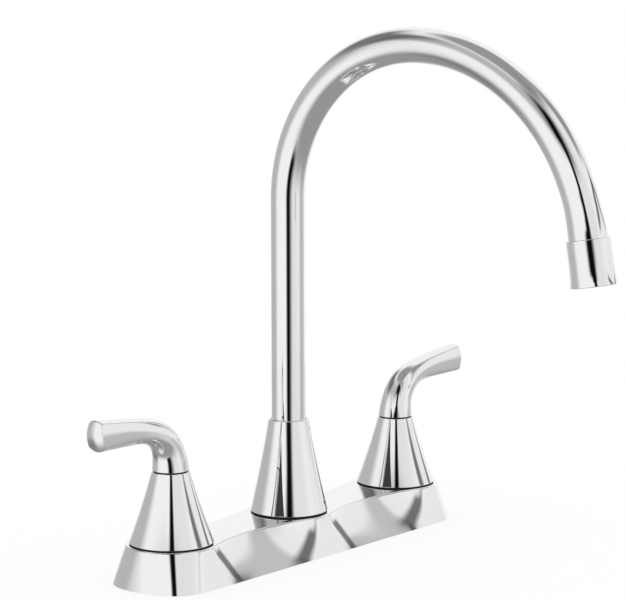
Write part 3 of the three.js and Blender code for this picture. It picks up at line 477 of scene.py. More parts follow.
def half_width(x, lobe, waist):
    """Half the plate's width at x: lobes about the cones, drawn in to the waist between them."""
    middle = HALF_SPACING / 2
    if lobe == waist:
        return lobe
    fillet = (middle ** 2 + waist ** 2 - lobe ** 2) / (2 * (lobe - waist))
    from_lobe = abs(x) if abs(x) < middle else HALF_SPACING - abs(x)
    if from_lobe < middle * lobe / (lobe + fillet):
        return math.sqrt(lobe ** 2 - from_lobe ** 2)
    return waist + fillet - math.sqrt(fillet ** 2 - (middle - from_lobe) ** 2)


def outline(reach, lobe, waist, power):
    """Points round the plate, the same number at every height."""
    points = []
    bowed = lambda value: math.copysign(abs(value) ** (2 / power), value)
    for side in (1, -1):
        for i in range(END_STEPS):
            angle = -math.pi / 2 + math.pi * i / END_STEPS
            x = side * (HALF_SPACING + reach * bowed(math.cos(angle)))
            points.append(Vector((x, side * lobe * bowed(math.sin(angle)), 0)))
        for i in range(SIDE_STEPS):
            x = side * HALF_SPACING * (1 - 2 * i / SIDE_STEPS)
            points.append(Vector((x, side * half_width(x, lobe, waist), 0)))
    return points


def foot(inset=0.0):
    """The outline on the deck, with straight sides and bowed ends."""
    return outline(30 - inset, 30.7 - inset, 30.7 - inset, 2.5)


def crown(inset=0.0):
    """The outline of the top, with its two waists and round ends."""
    return outline(25.3 - inset, 25.3 - inset, 16.3 - inset, 2.0)


def at_height(points, height):
    return [Vector((point.x, point.y, height)) for point in points]


def between(low, high, share):
    return [a.lerp(b, share) for a, b in zip(low, high)]


print("points in each ring of the plate:", len(foot()))

# %% [markdown]
# A circle is extruded ring by ring: up the ruled side, round the eased top edge and a little way in
# over the flat top. The extra rings beside the edge keep the flats flat in the mirror.

# %% Skin the plate ring by ring
def skin(rings):
    """A closed skin through rings of equally many points, in millimetres."""
    start(bpy.ops.mesh.primitive_circle_add, vertices=len(rings[0]), radius=1, fill_type="NGON")

    def place(points):
        mesh = bmesh.from_edit_mesh(bpy.context.object.data)
        chosen = sorted((vert for vert in mesh.verts if vert.select), key=lambda vert: vert.index)
        for vert, point in zip(chosen, points):
            vert.co = point * MM
        mesh.normal_update()
        bmesh.update_edit_mesh(bpy.context.object.data)

    place(rings[0])
    for points in rings[1:]:
        extrude(0, 0, 0)
        place(points)
    return stop()


low, high = at_height(foot(), 0), at_height(crown(), PLATE_TOP)
EASE_WIDTH, FLAT_STRIP, ARC_ROWS, SIDE_ROWS = 0.7, 0.15, 5, 10
top_share = 1 - EASE_WIDTH / PLATE_TOP
shares = [0, 0.01] + [0.02 + (top_share - 0.04) * i / SIDE_ROWS for i in range(SIDE_ROWS + 1)]
rings = [between(low, high, share) for share in shares]
side_end, top_start = between(low, high, top_share), at_height(crown(EASE_WIDTH), PLATE_TOP)
for i in range(ARC_ROWS + 1):
    share = i / ARC_ROWS
    rings.append([
        a * (1 - share) ** 2 + b * 2 * share * (1 - share) + c * share ** 2
        for a, b, c in zip(side_end, high, top_start)
    ])
rings.append(at_height(crown(EASE_WIDTH + FLAT_STRIP), PLATE_TOP))
plate = skin(rings)
print("plate solid:", len(plate.data.polygons), "faces")

# %% [markdown]
# The real plate is a pressed shell. Solidify could make its wall, but a smaller solid, taken away
# with a Boolean modifier, keeps the inside to the same formulas. Three rods cut the holes.

# %% Hollow it and cut the holes
def combine(piece, tool, operation):
    """Works one closed object on another with a Boolean modifier and removes the tool."""
    activate(piece)
    modify("BOOLEAN", object=tool, operation=operation, solver="EXACT")
    bpy.data.objects.remove(tool)


def take_away(piece, tool):
    combine(piece, tool, "DIFFERENCE")


WALL, HANDLE_HOLE, SPOUT_HOLE = 2.2, 13.55, 12.75
take_away(plate, skin([
    at_height(foot(WALL), -1), at_height(foot(WALL), 0), at_height(crown(WALL), PLATE_TOP - WALL),
]))
for x, radius in ((-HALF_SPACING, HANDLE_HOLE), (0, SPOUT_HOLE), (HALF_SPACING, HANDLE_HOLE)):
    take_away(plate, rod(radius, 15, 25, (x, 0), steps=96))
keep("cover_plate", "deck_plate", "chrome", smooth=35)

# %% [markdown]
# ## The three cones
#
# Each pedestal is a hollow cone with sides drawn in by half a millimetre, which narrows its
# reflections at the middle. A primitive cone has straight sides, so this one is turned, and its
# edges are eased by a bevel.

# %% Turn the cones
HANDLE = (-HALF_SPACING, 0)
CONE_FOOT, HANDLE_CONE_TOP, SPOUT_CONE_TOP = 22.7, 62.2, 76.2
DRAWN_IN = 0.5


def cone_side(foot_radius, top_radius, top_height, steps=16):
    """The outer profile of a cone, slightly hollow, from its foot up."""
    return [(
        foot_radius + (top_radius - foot_radius) * share - 4 * DRAWN_IN * share * (1 - share),
        CONE_FOOT + (top_height - CONE_FOOT) * share,
    ) for share in (i / steps for i in range(steps + 1))]


turn(cone_side(23.6, 10.5, HANDLE_CONE_TOP) + [
    (9.1, HANDLE_CONE_TOP), (9.1, 59.2), (9.5, 57.2), (13.1, 44.1), (9.6, 44.1), (9.6, 42.1),
    (13.7, 42.1), (21.8, CONE_FOOT),
], HANDLE, steps=128)
ease(0.35)
keep_both("cone", "pedestal", "chrome")

turn(cone_side(22.5, 11.6, SPOUT_CONE_TOP) + [
    (10.25, SPOUT_CONE_TOP), (10.25, 72.2), (10.4, 68.2), (13.7, 50.0), (12.7, 48.0), (12.7, 38.0),
    (16.2, 36.0), (20.7, CONE_FOOT),
], steps=128)
ease(0.5)
keep("cone_spout", "spout_pedestal", "chrome")

# %% [markdown]
# Each cone stands on a thin black seal, set back from its edge: the dark hairline at its foot. A
# painted line would look the same from the front, but a real ring is right from every side. A black
# nylon ring between cone and lever keeps metal off metal, and its flange shows as a dark seam.

# %% The seals under the cones and the glide rings on top
SEAL_LOW, SEAL_HIGH = 22.1, 22.6
ring(22.0, 19.4, SEAL_LOW, SEAL_HIGH)
ease(0.15, segments=2)
keep("seal_spout", "spout_pedestal_seal", "rubber")
ring(23.1, 20.5, SEAL_LOW, SEAL_HIGH, HANDLE)
ease(0.15, segments=2)
keep_both("seal", "pedestal_seal", "rubber")

turn([
    (8.9, 59.3), (8.9, 62.3), (9.8, 62.3), (9.8, 62.9), (5.45, 62.9), (5.45, 59.3),
], HANDLE)
ease(0.12, segments=2)
keep_both("glide_ring", "glide_ring", "nylon")

# %% [markdown]
# ## The levers
#
# Each lever is a horn that rises round from the cone, bends outwards and runs level, its two sides
# planed flat on the way. A swept curve would keep one section all along. Here eleven stations give
# the inner and outer point and the width of the flats, and a smooth curve through them keeps the
# mirror free of kinks.

# %% Stations along the lever
NECK = 10.3
LEVER_BOTTOM = 63.0
# inner point and outer point as (reach, height above the neck's foot), then the half width at the
# inner and at the outer edge of the flats, or None where the section is still round
STATIONS = [
    ((-NECK, 0), (NECK, 0), None),
    ((-9.3, 5.6), (10.2, 3.8), None),
    ((-7.5, 11.1), (10.5, 7.3), None),
    ((-5.0, 16.6), (11.6, 10.4), None),
    ((-1.0, 21.9), (13.8, 13.2), (8.1, 8.1)),
    ((4.6, 26.6), (17.0, 15.6), (7.3, 7.5)),
    ((12.2, 29.8), (21.6, 17.4), (6.3, 6.8)),
    ((21.5, 31.8), (28.0, 18.3), (5.4, 6.2)),
    ((32.5, 33.4), (36.5, 18.5), (4.9, 5.9)),
    ((45.0, 34.7), (46.5, 18.6), (4.7, 5.9)),
    ((59.0, 36.0), (57.9, 18.7), (4.6, 6.1)),
]
LEVER_STEPS, SMOOTHINGS = 72, 8


def curve_at(values, place):
    """A smooth curve through values, at a place counted in stations."""
    index = min(int(place), len(values) - 2)
    share = place - index
    before, first = values[max(index - 1, 0)], values[index]
    second, after = values[index + 1], values[min(index + 2, len(values) - 1)]
    lean_in, lean_out = (second - before) / 2, (after - first) / 2
    return (
        (2 * first - 2 * second + lean_in + lean_out) * share ** 3
        + (3 * second - 3 * first - 2 * lean_in - lean_out) * share ** 2 + lean_in * share + first
    )


table = []
for inner, outer, flats in STATIONS:
    radius = math.dist(inner, outer) / 2
    table.append([*inner, *outer, *(flats or (radius, radius))])
path = []
for i in range(LEVER_STEPS + 1):
    place = i * (len(table) - 1) / LEVER_STEPS
    path.append([curve_at(column, place) for column in zip(*table)])
for _ in range(SMOOTHINGS):
    path[1:-1] = [
        [(a + 2 * b + c) / 4 for a, b, c in zip(*path[i - 1:i + 2])]
        for i in range(1, LEVER_STEPS)
    ]
print("stations:", len(STATIONS), "rows:", len(path))

# %% [markdown]
# The section is two arcs joined by two flats through small rounded corners. Truly flat faces would
# mirror one even grey, so each has a camber of up to half a millimetre. The left half is the mirror
# image of the right.

# %% The section of the lever
CAMBER = 0.55
ARC_STEPS, CORNER_STEPS, FLAT_STEPS = 10, 5, 12


def section(radius, top_half, bottom_half, small):
    """A closed outline of (across, along): arc, corner, cambered flat, corner, and round."""
    turned = lambda angle: Vector((math.sin(angle), math.cos(angle)))
    halves = [min(half, 0.9995 * radius) for half in (top_half, bottom_half)]
    smalls = [small * min(1, max(0.02, (1 - half / radius) * 8)) for half in halves]
    centres = []
    for half, size in zip(halves, smalls):
        reach = half - size
        centres.append(Vector((reach, math.sqrt(max((radius - size) ** 2 - reach ** 2, 0)))))
    top, low = centres
    low.y = -low.y
    top_angle, low_angle = math.atan2(top.x, top.y), math.atan2(low.x, -low.y)
    lean = math.atan2(low.x + smalls[1] - top.x - smalls[0], top.y - low.y)
    bulge = min(CAMBER, 0.85 * (radius - sum(halves) / 2))
    tip_over = math.atan(4 * bulge / max(top.y - low.y, 0.1))
    face = math.pi / 2 - lean
    first = max(face - tip_over, top_angle)
    last = min(face + tip_over, math.pi - low_angle)

    def corner(centre, size, start_angle, end_angle):
        step = (end_angle - start_angle) / CORNER_STEPS
        return [centre + turned(start_angle + step * i) * size for i in range(CORNER_STEPS + 1)]

    right_side = [turned(top_angle * i / ARC_STEPS) * radius for i in range(ARC_STEPS)]
    right_side += corner(top, smalls[0], top_angle, first)
    start_flat, end_flat = right_side[-1], low + turned(last) * smalls[1]
    for i in range(1, FLAT_STEPS):
        share = i / FLAT_STEPS
        camber = turned(face) * bulge * 4 * share * (1 - share)
        right_side.append(start_flat.lerp(end_flat, share) + camber)
    right_side += corner(low, smalls[1], last, math.pi - low_angle)
    for i in range(ARC_STEPS - 1, 0, -1):
        angle = low_angle * i / ARC_STEPS
        right_side.append(Vector((math.sin(angle), -math.cos(angle))) * radius)
    left_side = [Vector((-point.x, point.y)) for point in reversed(right_side[1:])]
    return right_side + [Vector((0, -radius))] + left_side


print("points in a section:", len(section(8, 5, 6, 0.7)))

# %% [markdown]
# The sections are skinned from neck to tip, and the last one is shrunk onto a shallow dome. The
# lever is then bored for the stem and drilled from behind for its set screw.

# %% Skin a lever, bore it and drill its screw hole
TIP_DOME, TIP_ROUND = 2.2, 17.0
SCREW_PLACE = (-HALF_SPACING, 0, 69.2)
# how much of the section is left, and how far it stays back from the dome
TIP_RINGS = [(1, 0.45), (0.996, 0.2), (0.982, 0.05)]
TIP_RINGS += [(share, 0) for share in (0.96, 0.9, 0.8, 0.66, 0.5, 0.34, 0.18, 0.07)]


def lever_ring(row, small, scale=1.0, back=None):
    """A section of the lever in place. On the tip it is shrunk onto a dome."""
    inner, outer = Vector(row[0:2]), Vector(row[2:4])
    middle, along = (inner + outer) / 2, (inner - outer).normalized()
    ahead = Vector((along.y, -along.x))
    points = []
    for across, up_by in section((inner - outer).length / 2, row[4], row[5], small):
        across, up_by = across * scale, up_by * scale
        place = middle + along * up_by
        if back is not None:
            place += ahead * (TIP_DOME - (across ** 2 + up_by ** 2) / (2 * TIP_ROUND) - back)
        points.append(Vector((-HALF_SPACING - place.x, across, LEVER_BOTTOM + place.y)))
    return points


rings = [lever_ring(row, 1.8 - 1.2 * i / len(path)) for i, row in enumerate(path[:-1])]
rings += [lever_ring(path[-1], 0.6, scale, back) for scale, back in TIP_RINGS]
lever = skin(rings)
take_away(lever, rod(4.2, 60, 75, HANDLE))
take_away(lever, lay(rod(2.6, 0, 20, steps=32), "x", SCREW_PLACE))
keep_both("lever", "lever", "chrome", smooth=35, mirrored=True)
print("lever reaches", round(min(vert.co.x for vert in lever.data.vertices) / MM, 1))

# %% [markdown]
# ## The gooseneck
#
# The spout is one bent tube: a riser, a bend of 90 mm radius, a slacker one, and a last short one
# in which it widens for the aerator. A circle is extruded up, spun about the centre of each bend,
# and scaled over the last steps. Solidify gives the skin its wall, inwards.

# %% Bend the tube
TUBE_RADIUS, TUBE_FOOT, RISER_TOP = 9.9, 58.0, 202.9
FLARE, FLARE_STEPS = 0.7, 10
spout = {"reach": 0.0, "height": RISER_TOP, "heading": 90.0}


def bend(radius, degrees, steps):
    """Spins the tube's open end about a bend's centre and keeps track of where it gets to."""
    heading = math.radians(spout["heading"])
    reach = spout["reach"] + radius * math.sin(heading)
    height = spout["height"] - radius * math.cos(heading)
    bpy.ops.mesh.spin(
        steps=steps, angle=math.radians(degrees), center=(0, -reach * MM, height * MM),
        axis=(-1, 0, 0),
    )
    spout["heading"] -= degrees
    heading = math.radians(spout["heading"])
    spout["reach"] = reach - radius * math.sin(heading)
    spout["height"] = height + radius * math.cos(heading)


def along(distance):
    """A point further along the straight outlet."""
    heading = math.radians(spout["heading"])
    reach = spout["reach"] + distance * math.cos(heading)
    return Vector((0, -reach, spout["height"] + distance * math.sin(heading)))


start(
    bpy.ops.mesh.primitive_circle_add, vertices=128, radius=TUBE_RADIUS * MM,
    location=(0, 0, TUBE_FOOT * MM),
)
extrude(0, 0, RISER_TOP - 2 - TUBE_FOOT)
extrude(0, 0, 2)
bend(90, 86, 60)
bend(112, 76, 54)
width = TUBE_RADIUS
for step in range(1, FLARE_STEPS + 1):
    bend(138, 8.5 / FLARE_STEPS, 1)
    share = step / FLARE_STEPS
    wider = TUBE_RADIUS + FLARE * share * share * (3 - 2 * share)
    bpy.ops.transform.resize(value=(wider / width,) * 3, center_override=along(0) * MM)
    width = wider
extrude(*(along(7.7) - along(0)))
stop()
modify("SOLIDIFY", thickness=1.4 * MM, offset=-1, use_even_offset=True)
keep("gooseneck", "spout_tube", "chrome", smooth=40)
print("outlet at", [round(value, 2) for value in along(0)], "heading", round(spout["heading"], 2))

# %% [markdown]
# ## The aerator
#
# A short sleeve, belled at its mouth, holds a washer, a screen and a ribbed insert. They could be
# built at a slant, but it is easier to turn them upright, tilt them and move them to the outlet.

# %% Turn the housing and its washer
def keep_at_outlet(name, node, finish, smooth=None):
    """Keeps the active object, made upright with its mouth at nought, on the end of the spout."""
    bpy.context.object.rotation_euler = (-math.radians(90 + spout["heading"]), 0, 0)
    bpy.context.object.location = along(25) * MM
    keep(name, node, finish, smooth)


turn([
    (12.45, 0.0), (12.75, 0.25), (12.58, 1.2), (12.39, 2.5), (12.24, 4.2), (12.13, 6.0),
    (12.04, 8.5), (11.97, 11.5), (11.95, 14.0), (11.95, 24.7), (11.65, 25.0), (10.9, 25.0),
    (10.9, 17.0), (8.8, 17.0), (8.8, 14.5), (10.8, 14.5), (10.8, 0.0),
], steps=128)
ease(0.1, segments=2, angle=35)
keep_at_outlet("aerator_sleeve", "aerator_housing", "chrome")
ring(10.5, 6.8, 12.2, 14.2)
ease(0.3)
keep_at_outlet("aerator_seal", "aerator_washer", "rubber")

# %% [markdown]
# The insert is a spoked wheel: a wall, a hub, a hoop and six ribs, welded into one moulding by
# Boolean modifiers. Faces that lie exactly on each other confuse a Boolean, so the parts differ by
# a few hundredths of a millimetre in thickness.

# %% Weld the aerator insert
def weld(piece, tool):
    combine(piece, tool, "UNION")


def bar(length, width, low, high, out=0.0, aside=0.0, turn_by=0.0, round_edge=0.15):
    """A bar from a cube, set off and turned about the upright axis, its edges rounded."""
    start(bpy.ops.mesh.primitive_cube_add, size=MM)
    bpy.ops.transform.resize(value=(length, width, high - low))
    bpy.ops.transform.translate(value=(out * MM, aside * MM, (low + high) / 2 * MM))
    piece = stop()
    ease(round_edge, segments=2)
    piece.rotation_euler = (0, 0, turn_by)
    return piece


insert = ring(10.5, 9.0, 1.5, 11.0)
ease(0.2)
for i in range(3):
    inset = 0.06 + 0.02 * i
    weld(insert, bar(19.6, 0.9, 1.5 + inset, 3.5 - inset, turn_by=i * math.pi / 3))
hoop = ring(5.7, 4.8, 1.54, 3.46, steps=64)
ease(0.15, segments=2)
weld(insert, hoop)
weld(insert, turn([(1.2, 1.5), (2.0, 1.7), (2.0, 3.3), (1.7, 3.5)], steps=32, solid=True))
keep_at_outlet("aerator_spokes", "aerator_insert", "white_plastic", smooth=30)

# %% [markdown]
# Above it lies a steel screen. Nobody would see hundreds of wires there, so it is a ring with a few
# crossing bars.

# %% Weave the screen above it
screen = ring(10.5, 9.0, 11.2, 12.0, steps=64)
middle = 9.75
for turn_by, inset in ((0, 0.06), (math.pi / 2, 0.04)):
    for place in (-middle / 2, 0, middle / 2):
        length = 2 * math.sqrt(middle ** 2 - place ** 2)
        weld(screen, bar(
            length, 0.8, 11.2 + inset, 12 - inset, aside=place, turn_by=turn_by, round_edge=0.1,
        ))
keep_at_outlet("aerator_mesh", "aerator_screen", "steel", smooth=30)

# %% [markdown]
# ## The valve bodies
#
# Each handle sits on a brass valve body: a shank through the deck, a flange on the gasket, and a
# pocket for the cartridge. It is turned in one go, and a side boss for the tube to the spout is
# welded on and bored, which makes the cold one a mirror image.

# %% Turn the valve body
BARREL = 13.2
HUB_AXIS, BOSS_AXIS = (0, 0, 10.9), (-HALF_SPACING, 0, 10.9)
body = turn([
    (9.2, -52), (9.85, -51.3), (9.85, -4), (10.4, -3.4), (10.4, 2.7), (17, 2.7), (17, 6.7),
    (BARREL, 6.7), (BARREL, 42), (9.5, 42), (9.5, 18.2), (11.2, 18.2), (11.2, 8.2), (9.5, 8.2),
    (9.5, 5.6), (4.2, 5.6), (4.2, 3.6), (6.5, 3.6), (6.5, -52),
], HANDLE, steps=72)
ease(0.25, segments=2, angle=50)
boss = turn([(6.1, 11.5), (6.1, 18.9), (5.8, 19.2)], steps=48, solid=True)
weld(body, lay(boss, "y", BOSS_AXIS))
for radius, low, high in ((5.2, 15.2, 20), (4.0, 8.5, 16)):
    take_away(body, lay(rod(radius, low, high), "y", BOSS_AXIS))
print("valve body:", len(body.data.polygons), "faces")

# %% [markdown]
# The thread could be a bump, but then the shank's outline would be smooth. It is a real helix: a
# diamond of four points, wound along the shank by the Screw modifier and welded on.

# %% Wind its thread
PITCH, TURNS = 1.8, 25
start(bpy.ops.mesh.primitive_circle_add, vertices=4, radius=0.8 * MM, fill_type="NOTHING")
bpy.ops.transform.rotate(value=math.pi / 2, orient_axis="X", center_override=(0, 0, 0))
bpy.ops.transform.resize(value=(0.875, 1, 1), center_override=(0, 0, 0))
bpy.ops.transform.translate(value=(9.7 * MM, 0, -50 * MM))
bpy.ops.object.mode_set(mode="OBJECT")
thread = bpy.context.object
modify(
    "SCREW", steps=40, render_steps=40, iterations=TURNS, screw_offset=PITCH * MM, axis="Z",
)
edit()
bpy.ops.mesh.fill_holes(sides=6)
stop(merge=0.001)
thread.location.x = -HALF_SPACING * MM
weld(body, thread)
keep_both("valve_body", "valve_body", "brass", smooth=30, mirrored=True)

# %% [markdown]
# A steel washer spreads the load under the deck, and a white plastic nut with four wings pulls it
# up by hand. The wings are one rounded bar, made four times and welded on.

# %% Turn the washers and the winged nuts
SHANK_HOLE = 10.7
ring(19, SHANK_HOLE, -12.3, -10.3, HANDLE)
ease(0.35)
keep_both("washer", "shank_washer", "steel")
nut = ring(16, SHANK_HOLE, -22.4, -12.4)
ease(0.6)
for i in range(4):
    turn_by = math.pi / 4 + math.pi / 2 * i
    weld(nut, bar(9.6, 4, -22.4, -15.4, out=19.2, turn_by=turn_by, round_edge=0.8))
nut.location.x = -HALF_SPACING * MM
keep_both("wing_nut", "lock_nut", "white_plastic", smooth=30)

# %% [markdown]
# ## The gasket, the set screws and the wear ring
#
# The rubber gasket fills the plate's underside, so it is skinned from the plate's outlines. The
# screw has a six sided hole, and a nylon ring centres the spout in its socket.

# %% Make the small parts
GASKET, GASKET_GAP = 2.6, 0.5
inset = WALL + GASKET_GAP
gasket_outline = between(foot(inset), crown(inset), GASKET / (PLATE_TOP - WALL))
gasket = skin([at_height(gasket_outline, height) for height in (0, GASKET)])
ease(0.4, segments=2)
for x in (-HALF_SPACING, HALF_SPACING):
    take_away(gasket, rod(SHANK_HOLE, -1, 4, (x, 0), steps=96))
keep("gasket", "deck_gasket", "rubber", smooth=30)

screw = turn([(1.9, 4.05), (2.4, 4.55), (2.4, 8.5), (2.1, 8.85)], steps=40, solid=True)
take_away(screw, rod(1.4, 6.4, 10, steps=6))
lay(screw, "x", SCREW_PLACE)
keep_both("grub_screw", "set_screw", "steel", smooth=30, mirrored=True)

ring(12.3, 10.0, 56.1, 57.9)
ease(0.3)
keep("wear_ring", "spout_wear_ring", "nylon")

# %% [markdown]
# ## The cartridges
#
# Each valve body holds a ceramic cartridge: a seal on the seat, a fixed disc with two ports, and a
# moving disc whose ports come over them in a quarter turn. The discs are short rods with two more
# rods taken away.

# %% The seal and the two discs
ring(9.3, 4.2, 5.7, 7.7, HANDLE)
ease(0.25)
keep_both("seat_seal", "seat_seal", "rubber")
DISC_RADIUS, DISC_HEIGHT, PORT_OUT = 7.5, 3, 3.8
for word, low, across, deep in (("fixed", 7.8, PORT_OUT, 0), ("moving", 10.9, 0, PORT_OUT)):
    disc = rod(DISC_RADIUS, low, low + DISC_HEIGHT, HANDLE, steps=96)
    ease(0.2)
    for side in (-1, 1):
        port = (side * across - HALF_SPACING, side * deep)
        take_away(disc, rod(2, low - 1, low + DISC_HEIGHT + 1, port, steps=40))
    keep_both(f"{word}_disc", f"{word}_disc", "ceramic", smooth=30)

# %% [markdown]
# A brass shell with two windows, cut by one long bar, holds the discs down. Over it comes a bonnet
# nut, whose hexagon is a circle of six points.

# %% The shell and the bonnet nut
shell = turn([(9.3, 7.8), (9.3, 38.1), (4.45, 38.1), (4.45, 20.2), (7.85, 20.2), (7.85, 7.8)])
ease(0.25)
take_away(shell, bar(30, 6, 14.3, 17.8, turn_by=math.pi / 2))
shell.location.x = -HALF_SPACING * MM
keep_both("cartridge", "cartridge_shell", "brass", smooth=30)

ACROSS_FLATS = 19
bonnet = turn([(9.0, 38.2), (9.3, 38.5), (9.3, 44.4)], steps=72, solid=True)
hexagon = rod(ACROSS_FLATS / math.sqrt(3), 44.2, 50.2, steps=6)
ease(0.4)
weld(bonnet, hexagon)
take_away(bonnet, rod(4.45, 37, 52, steps=72))
bonnet.location.x, bonnet.rotation_euler.z = -HALF_SPACING * MM, math.pi / 6
keep_both("bonnet", "bonnet_nut", "brass", smooth=30)

# %% [markdown]
# The stem carries the lever on its splines and drives the moving disc by a crossbar. A thin rod of
# twenty sides has its corners scaled out by turns to the root and the tip of a tooth, which makes
# ten splines without a Boolean.

# %% The stem with its splines, and its seal
def pick(test):
    """In edit mode, selects just the points that pass a test."""
    bpy.ops.mesh.select_all(action="DESELECT")
    bpy.ops.mesh.select_mode(type="VERT")
    mesh = bmesh.from_edit_mesh(bpy.context.object.data)
    for vert in mesh.verts:
        vert.select_set(test(vert))
    mesh.select_flush_mode()
    bmesh.update_edit_mesh(bpy.context.object.data)


def round_seal(middle, thickness, height, at=(0, 0)):
    """A seal with a round section, from a torus, in millimetres."""
    start(
        bpy.ops.mesh.primitive_torus_add, major_radius=middle * MM,
        minor_radius=thickness / 2 * MM, major_segments=96, minor_segments=24,
        location=(at[0] * MM, at[1] * MM, height * MM),
    )
    return stop()


GROOVE, STEM_RADIUS, GROOVE_RADIUS = 24.2, 4.1, 2.7
ROOT, TIP, SPLINES = 3.3, 3.85, 10
stem = turn([
    (STEM_RADIUS, 15), (STEM_RADIUS, GROOVE - 0.95), (GROOVE_RADIUS, GROOVE - 0.95),
    (GROOVE_RADIUS, GROOVE + 0.95), (STEM_RADIUS, GROOVE + 0.95), (STEM_RADIUS, 61.6), (3.7, 62),
], steps=72, solid=True)
splines = turn([(1, 61.8), (1, 73.6), (0.9, 74)], steps=2 * SPLINES, solid=True)
edit()
half_step = math.pi / SPLINES
for odd, radius in enumerate((ROOT, TIP)):
    pick(lambda vert: round((math.atan2(vert.co.x, vert.co.y) + math.tau) / half_step) % 2 == odd)
    bpy.ops.transform.resize(value=(radius, radius, 1), center_override=(0, 0, 0))
stop()
weld(stem, splines)
weld(stem, bar(13, 5.6, 14, 17.2, round_edge=0.3))
stem.location.x = -HALF_SPACING * MM
keep_both("valve_stem", "stem", "brass", smooth=30)
round_seal(3.55, 1.5, GROOVE, HANDLE)
keep_both("stem_seal", "stem_o_ring", "rubber", smooth=40)

# %% [markdown]
# ## The hub and the foot of the spout
#
# Two copper tubes bring the water from the valve bodies to a brass hub under the middle cone. The
# hub is bored from each side, and once more right through, so that the two waters meet.

# %% The crossover tubes and the hub
tube = ring(5.0, 4.0, 11.3, 86.1, steps=64)
ease(0.2, segments=2)
lay(tube, "y", HUB_AXIS)
keep_both("crossover", "crossover_tube", "copper", mirrored=True, sides=("cold", "hot"))

manifold = turn([
    (15, 2.7), (15, 18.4), (12.4, 18.4), (12.4, 56), (10, 56), (10, 51.8), (11, 51.8), (11, 50.3),
    (10, 50.3), (10, 24), (8, 24), (8, 5.9),
], solid=True)
ease(0.3, segments=2, angle=50)
for radius, low, high in ((5.2, 11, 16), (5.2, -16, -11), (4.0, -12, 12)):
    take_away(manifold, lay(rod(radius, low, high), "y", HUB_AXIS))
keep("manifold", "spout_hub", "brass", smooth=30)

# %% [markdown]
# The spout stands in the hub on a brass plug with two rubber rings in its grooves. A snap ring with
# a gap sits in a third groove and keeps it from being pulled out.

# %% The plug, its seals and the snap ring
PLUG_RADIUS, PLUG_GROOVE = 9.65, 7.85
plug = [(PLUG_RADIUS, 28)]
for low, high in ((29.9, 32.1), (35.9, 38.1), (50.3, 51.8)):
    plug += [(PLUG_RADIUS, low), (PLUG_GROOVE, low), (PLUG_GROOVE, high), (PLUG_RADIUS, high)]
turn(plug + [(PLUG_RADIUS, 57.9), (8.0, 57.9), (8.0, 66), (6, 66), (6, 28)])
ease(0.2, segments=2)
keep("spout_plug", "spout_adapter", "brass")
for word, height in (("lower", 31), ("upper", 37)):
    round_seal(8.85, 1.8, height)
    keep(f"spout_seal_{word}", f"spout_o_ring_{word}", "rubber", smooth=40)
snap = ring(10.8, 8.2, 50.5, 51.6)
take_away(snap, bar(22, 4, 49, 53, out=11, round_edge=0.05))
ease(0.15, segments=2)
keep("retainer", "spout_snap_ring", "steel", smooth=30)

# %% [markdown]
# ## The floor and the world
#
# The faucet stands on a round sheet of pale paper, partly whitened for the camera, so it shows as
# white with a faint shadow. The metal sees the same paper out to an oval rim. Beyond it the paper
# is clear for reflections, so that no hard edge shows in the metal. The world is plain white.

# %% Lay the paper and light the room
PAPER_GREY, WHITENING = 0.36, 0.45
PAPER_RADIUS, PAPER_DROP = 0.6, 0.0003
OVAL_LENGTH, OVAL_DEPTH = 0.155, 0.044

world = bpy.data.worlds.new("white_room")
world.use_nodes = True
world.node_tree.nodes["Background"].inputs["Color"].default_value = (1, 1, 1, 1)
bpy.context.scene.world = world

bpy.ops.object.select_all(action="DESELECT")
bpy.ops.mesh.primitive_circle_add(
    vertices=96, radius=PAPER_RADIUS, fill_type="NGON", location=(0, 0, -PAPER_DROP),
)
floor = bpy.context.object
floor.name = "paper_floor"
paper = Finish("pale_paper", "ShaderNodeMixShader")
camera_ray, glossy_ray, clear_ray = [
    paper.node("ShaderNodeLightPath", output=f"Is_{kind}_Ray")
    for kind in ("Camera", "Glossy", "Transmission")
]
sheet = paper.node("ShaderNodeBsdfDiffuse", None, (PAPER_GREY,) * 3 + (1,))
glow = paper.node(
    "ShaderNodeEmission", None, (1, 1, 1, 1), (1 - PAPER_GREY * (1 - WHITENING)) / WHITENING,
)
whitened = (camera_ray + glossy_ray + clear_ray) * WHITENING
for socket, value in zip(paper.shader.inputs, (whitened, sheet, glow)):
    paper.link(socket, value)

oval = paper.place((1 / OVAL_LENGTH, 1 / OVAL_DEPTH, 1))
away = paper.node("ShaderNodeVectorMath", {"operation": "LENGTH"}, oval, output="Value")
paper.clear_where(paper.rise(away, 0.85, 1.1) * (1 - camera_ray))
floor.data.materials.append(paper.material)
floor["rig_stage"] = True
print("paper laid, the camera sees it", WHITENING, "whitened")

# %% [markdown]
# ## The light tent
#
# A mirror shows the room. Polished taps are photographed in a white tent with an opening for the
# camera, which gives black lines and soft greys. Lamps would only put bright spots on the metal, so
# a big sphere that only reflections see has cloth that glows. A place on it is named by its angle
# to the right of the camera and its height, in degrees.

# %% Pitch the tent
TENT_RADIUS = 8
bpy.ops.object.select_all(action="DESELECT")
bpy.ops.mesh.primitive_uv_sphere_add(segments=64, ring_count=32, radius=TENT_RADIUS)
tent = bpy.context.object
tent.name = "light_tent"
bpy.ops.object.shade_smooth()
tent.visible_camera = tent.visible_diffuse = tent.visible_shadow = False

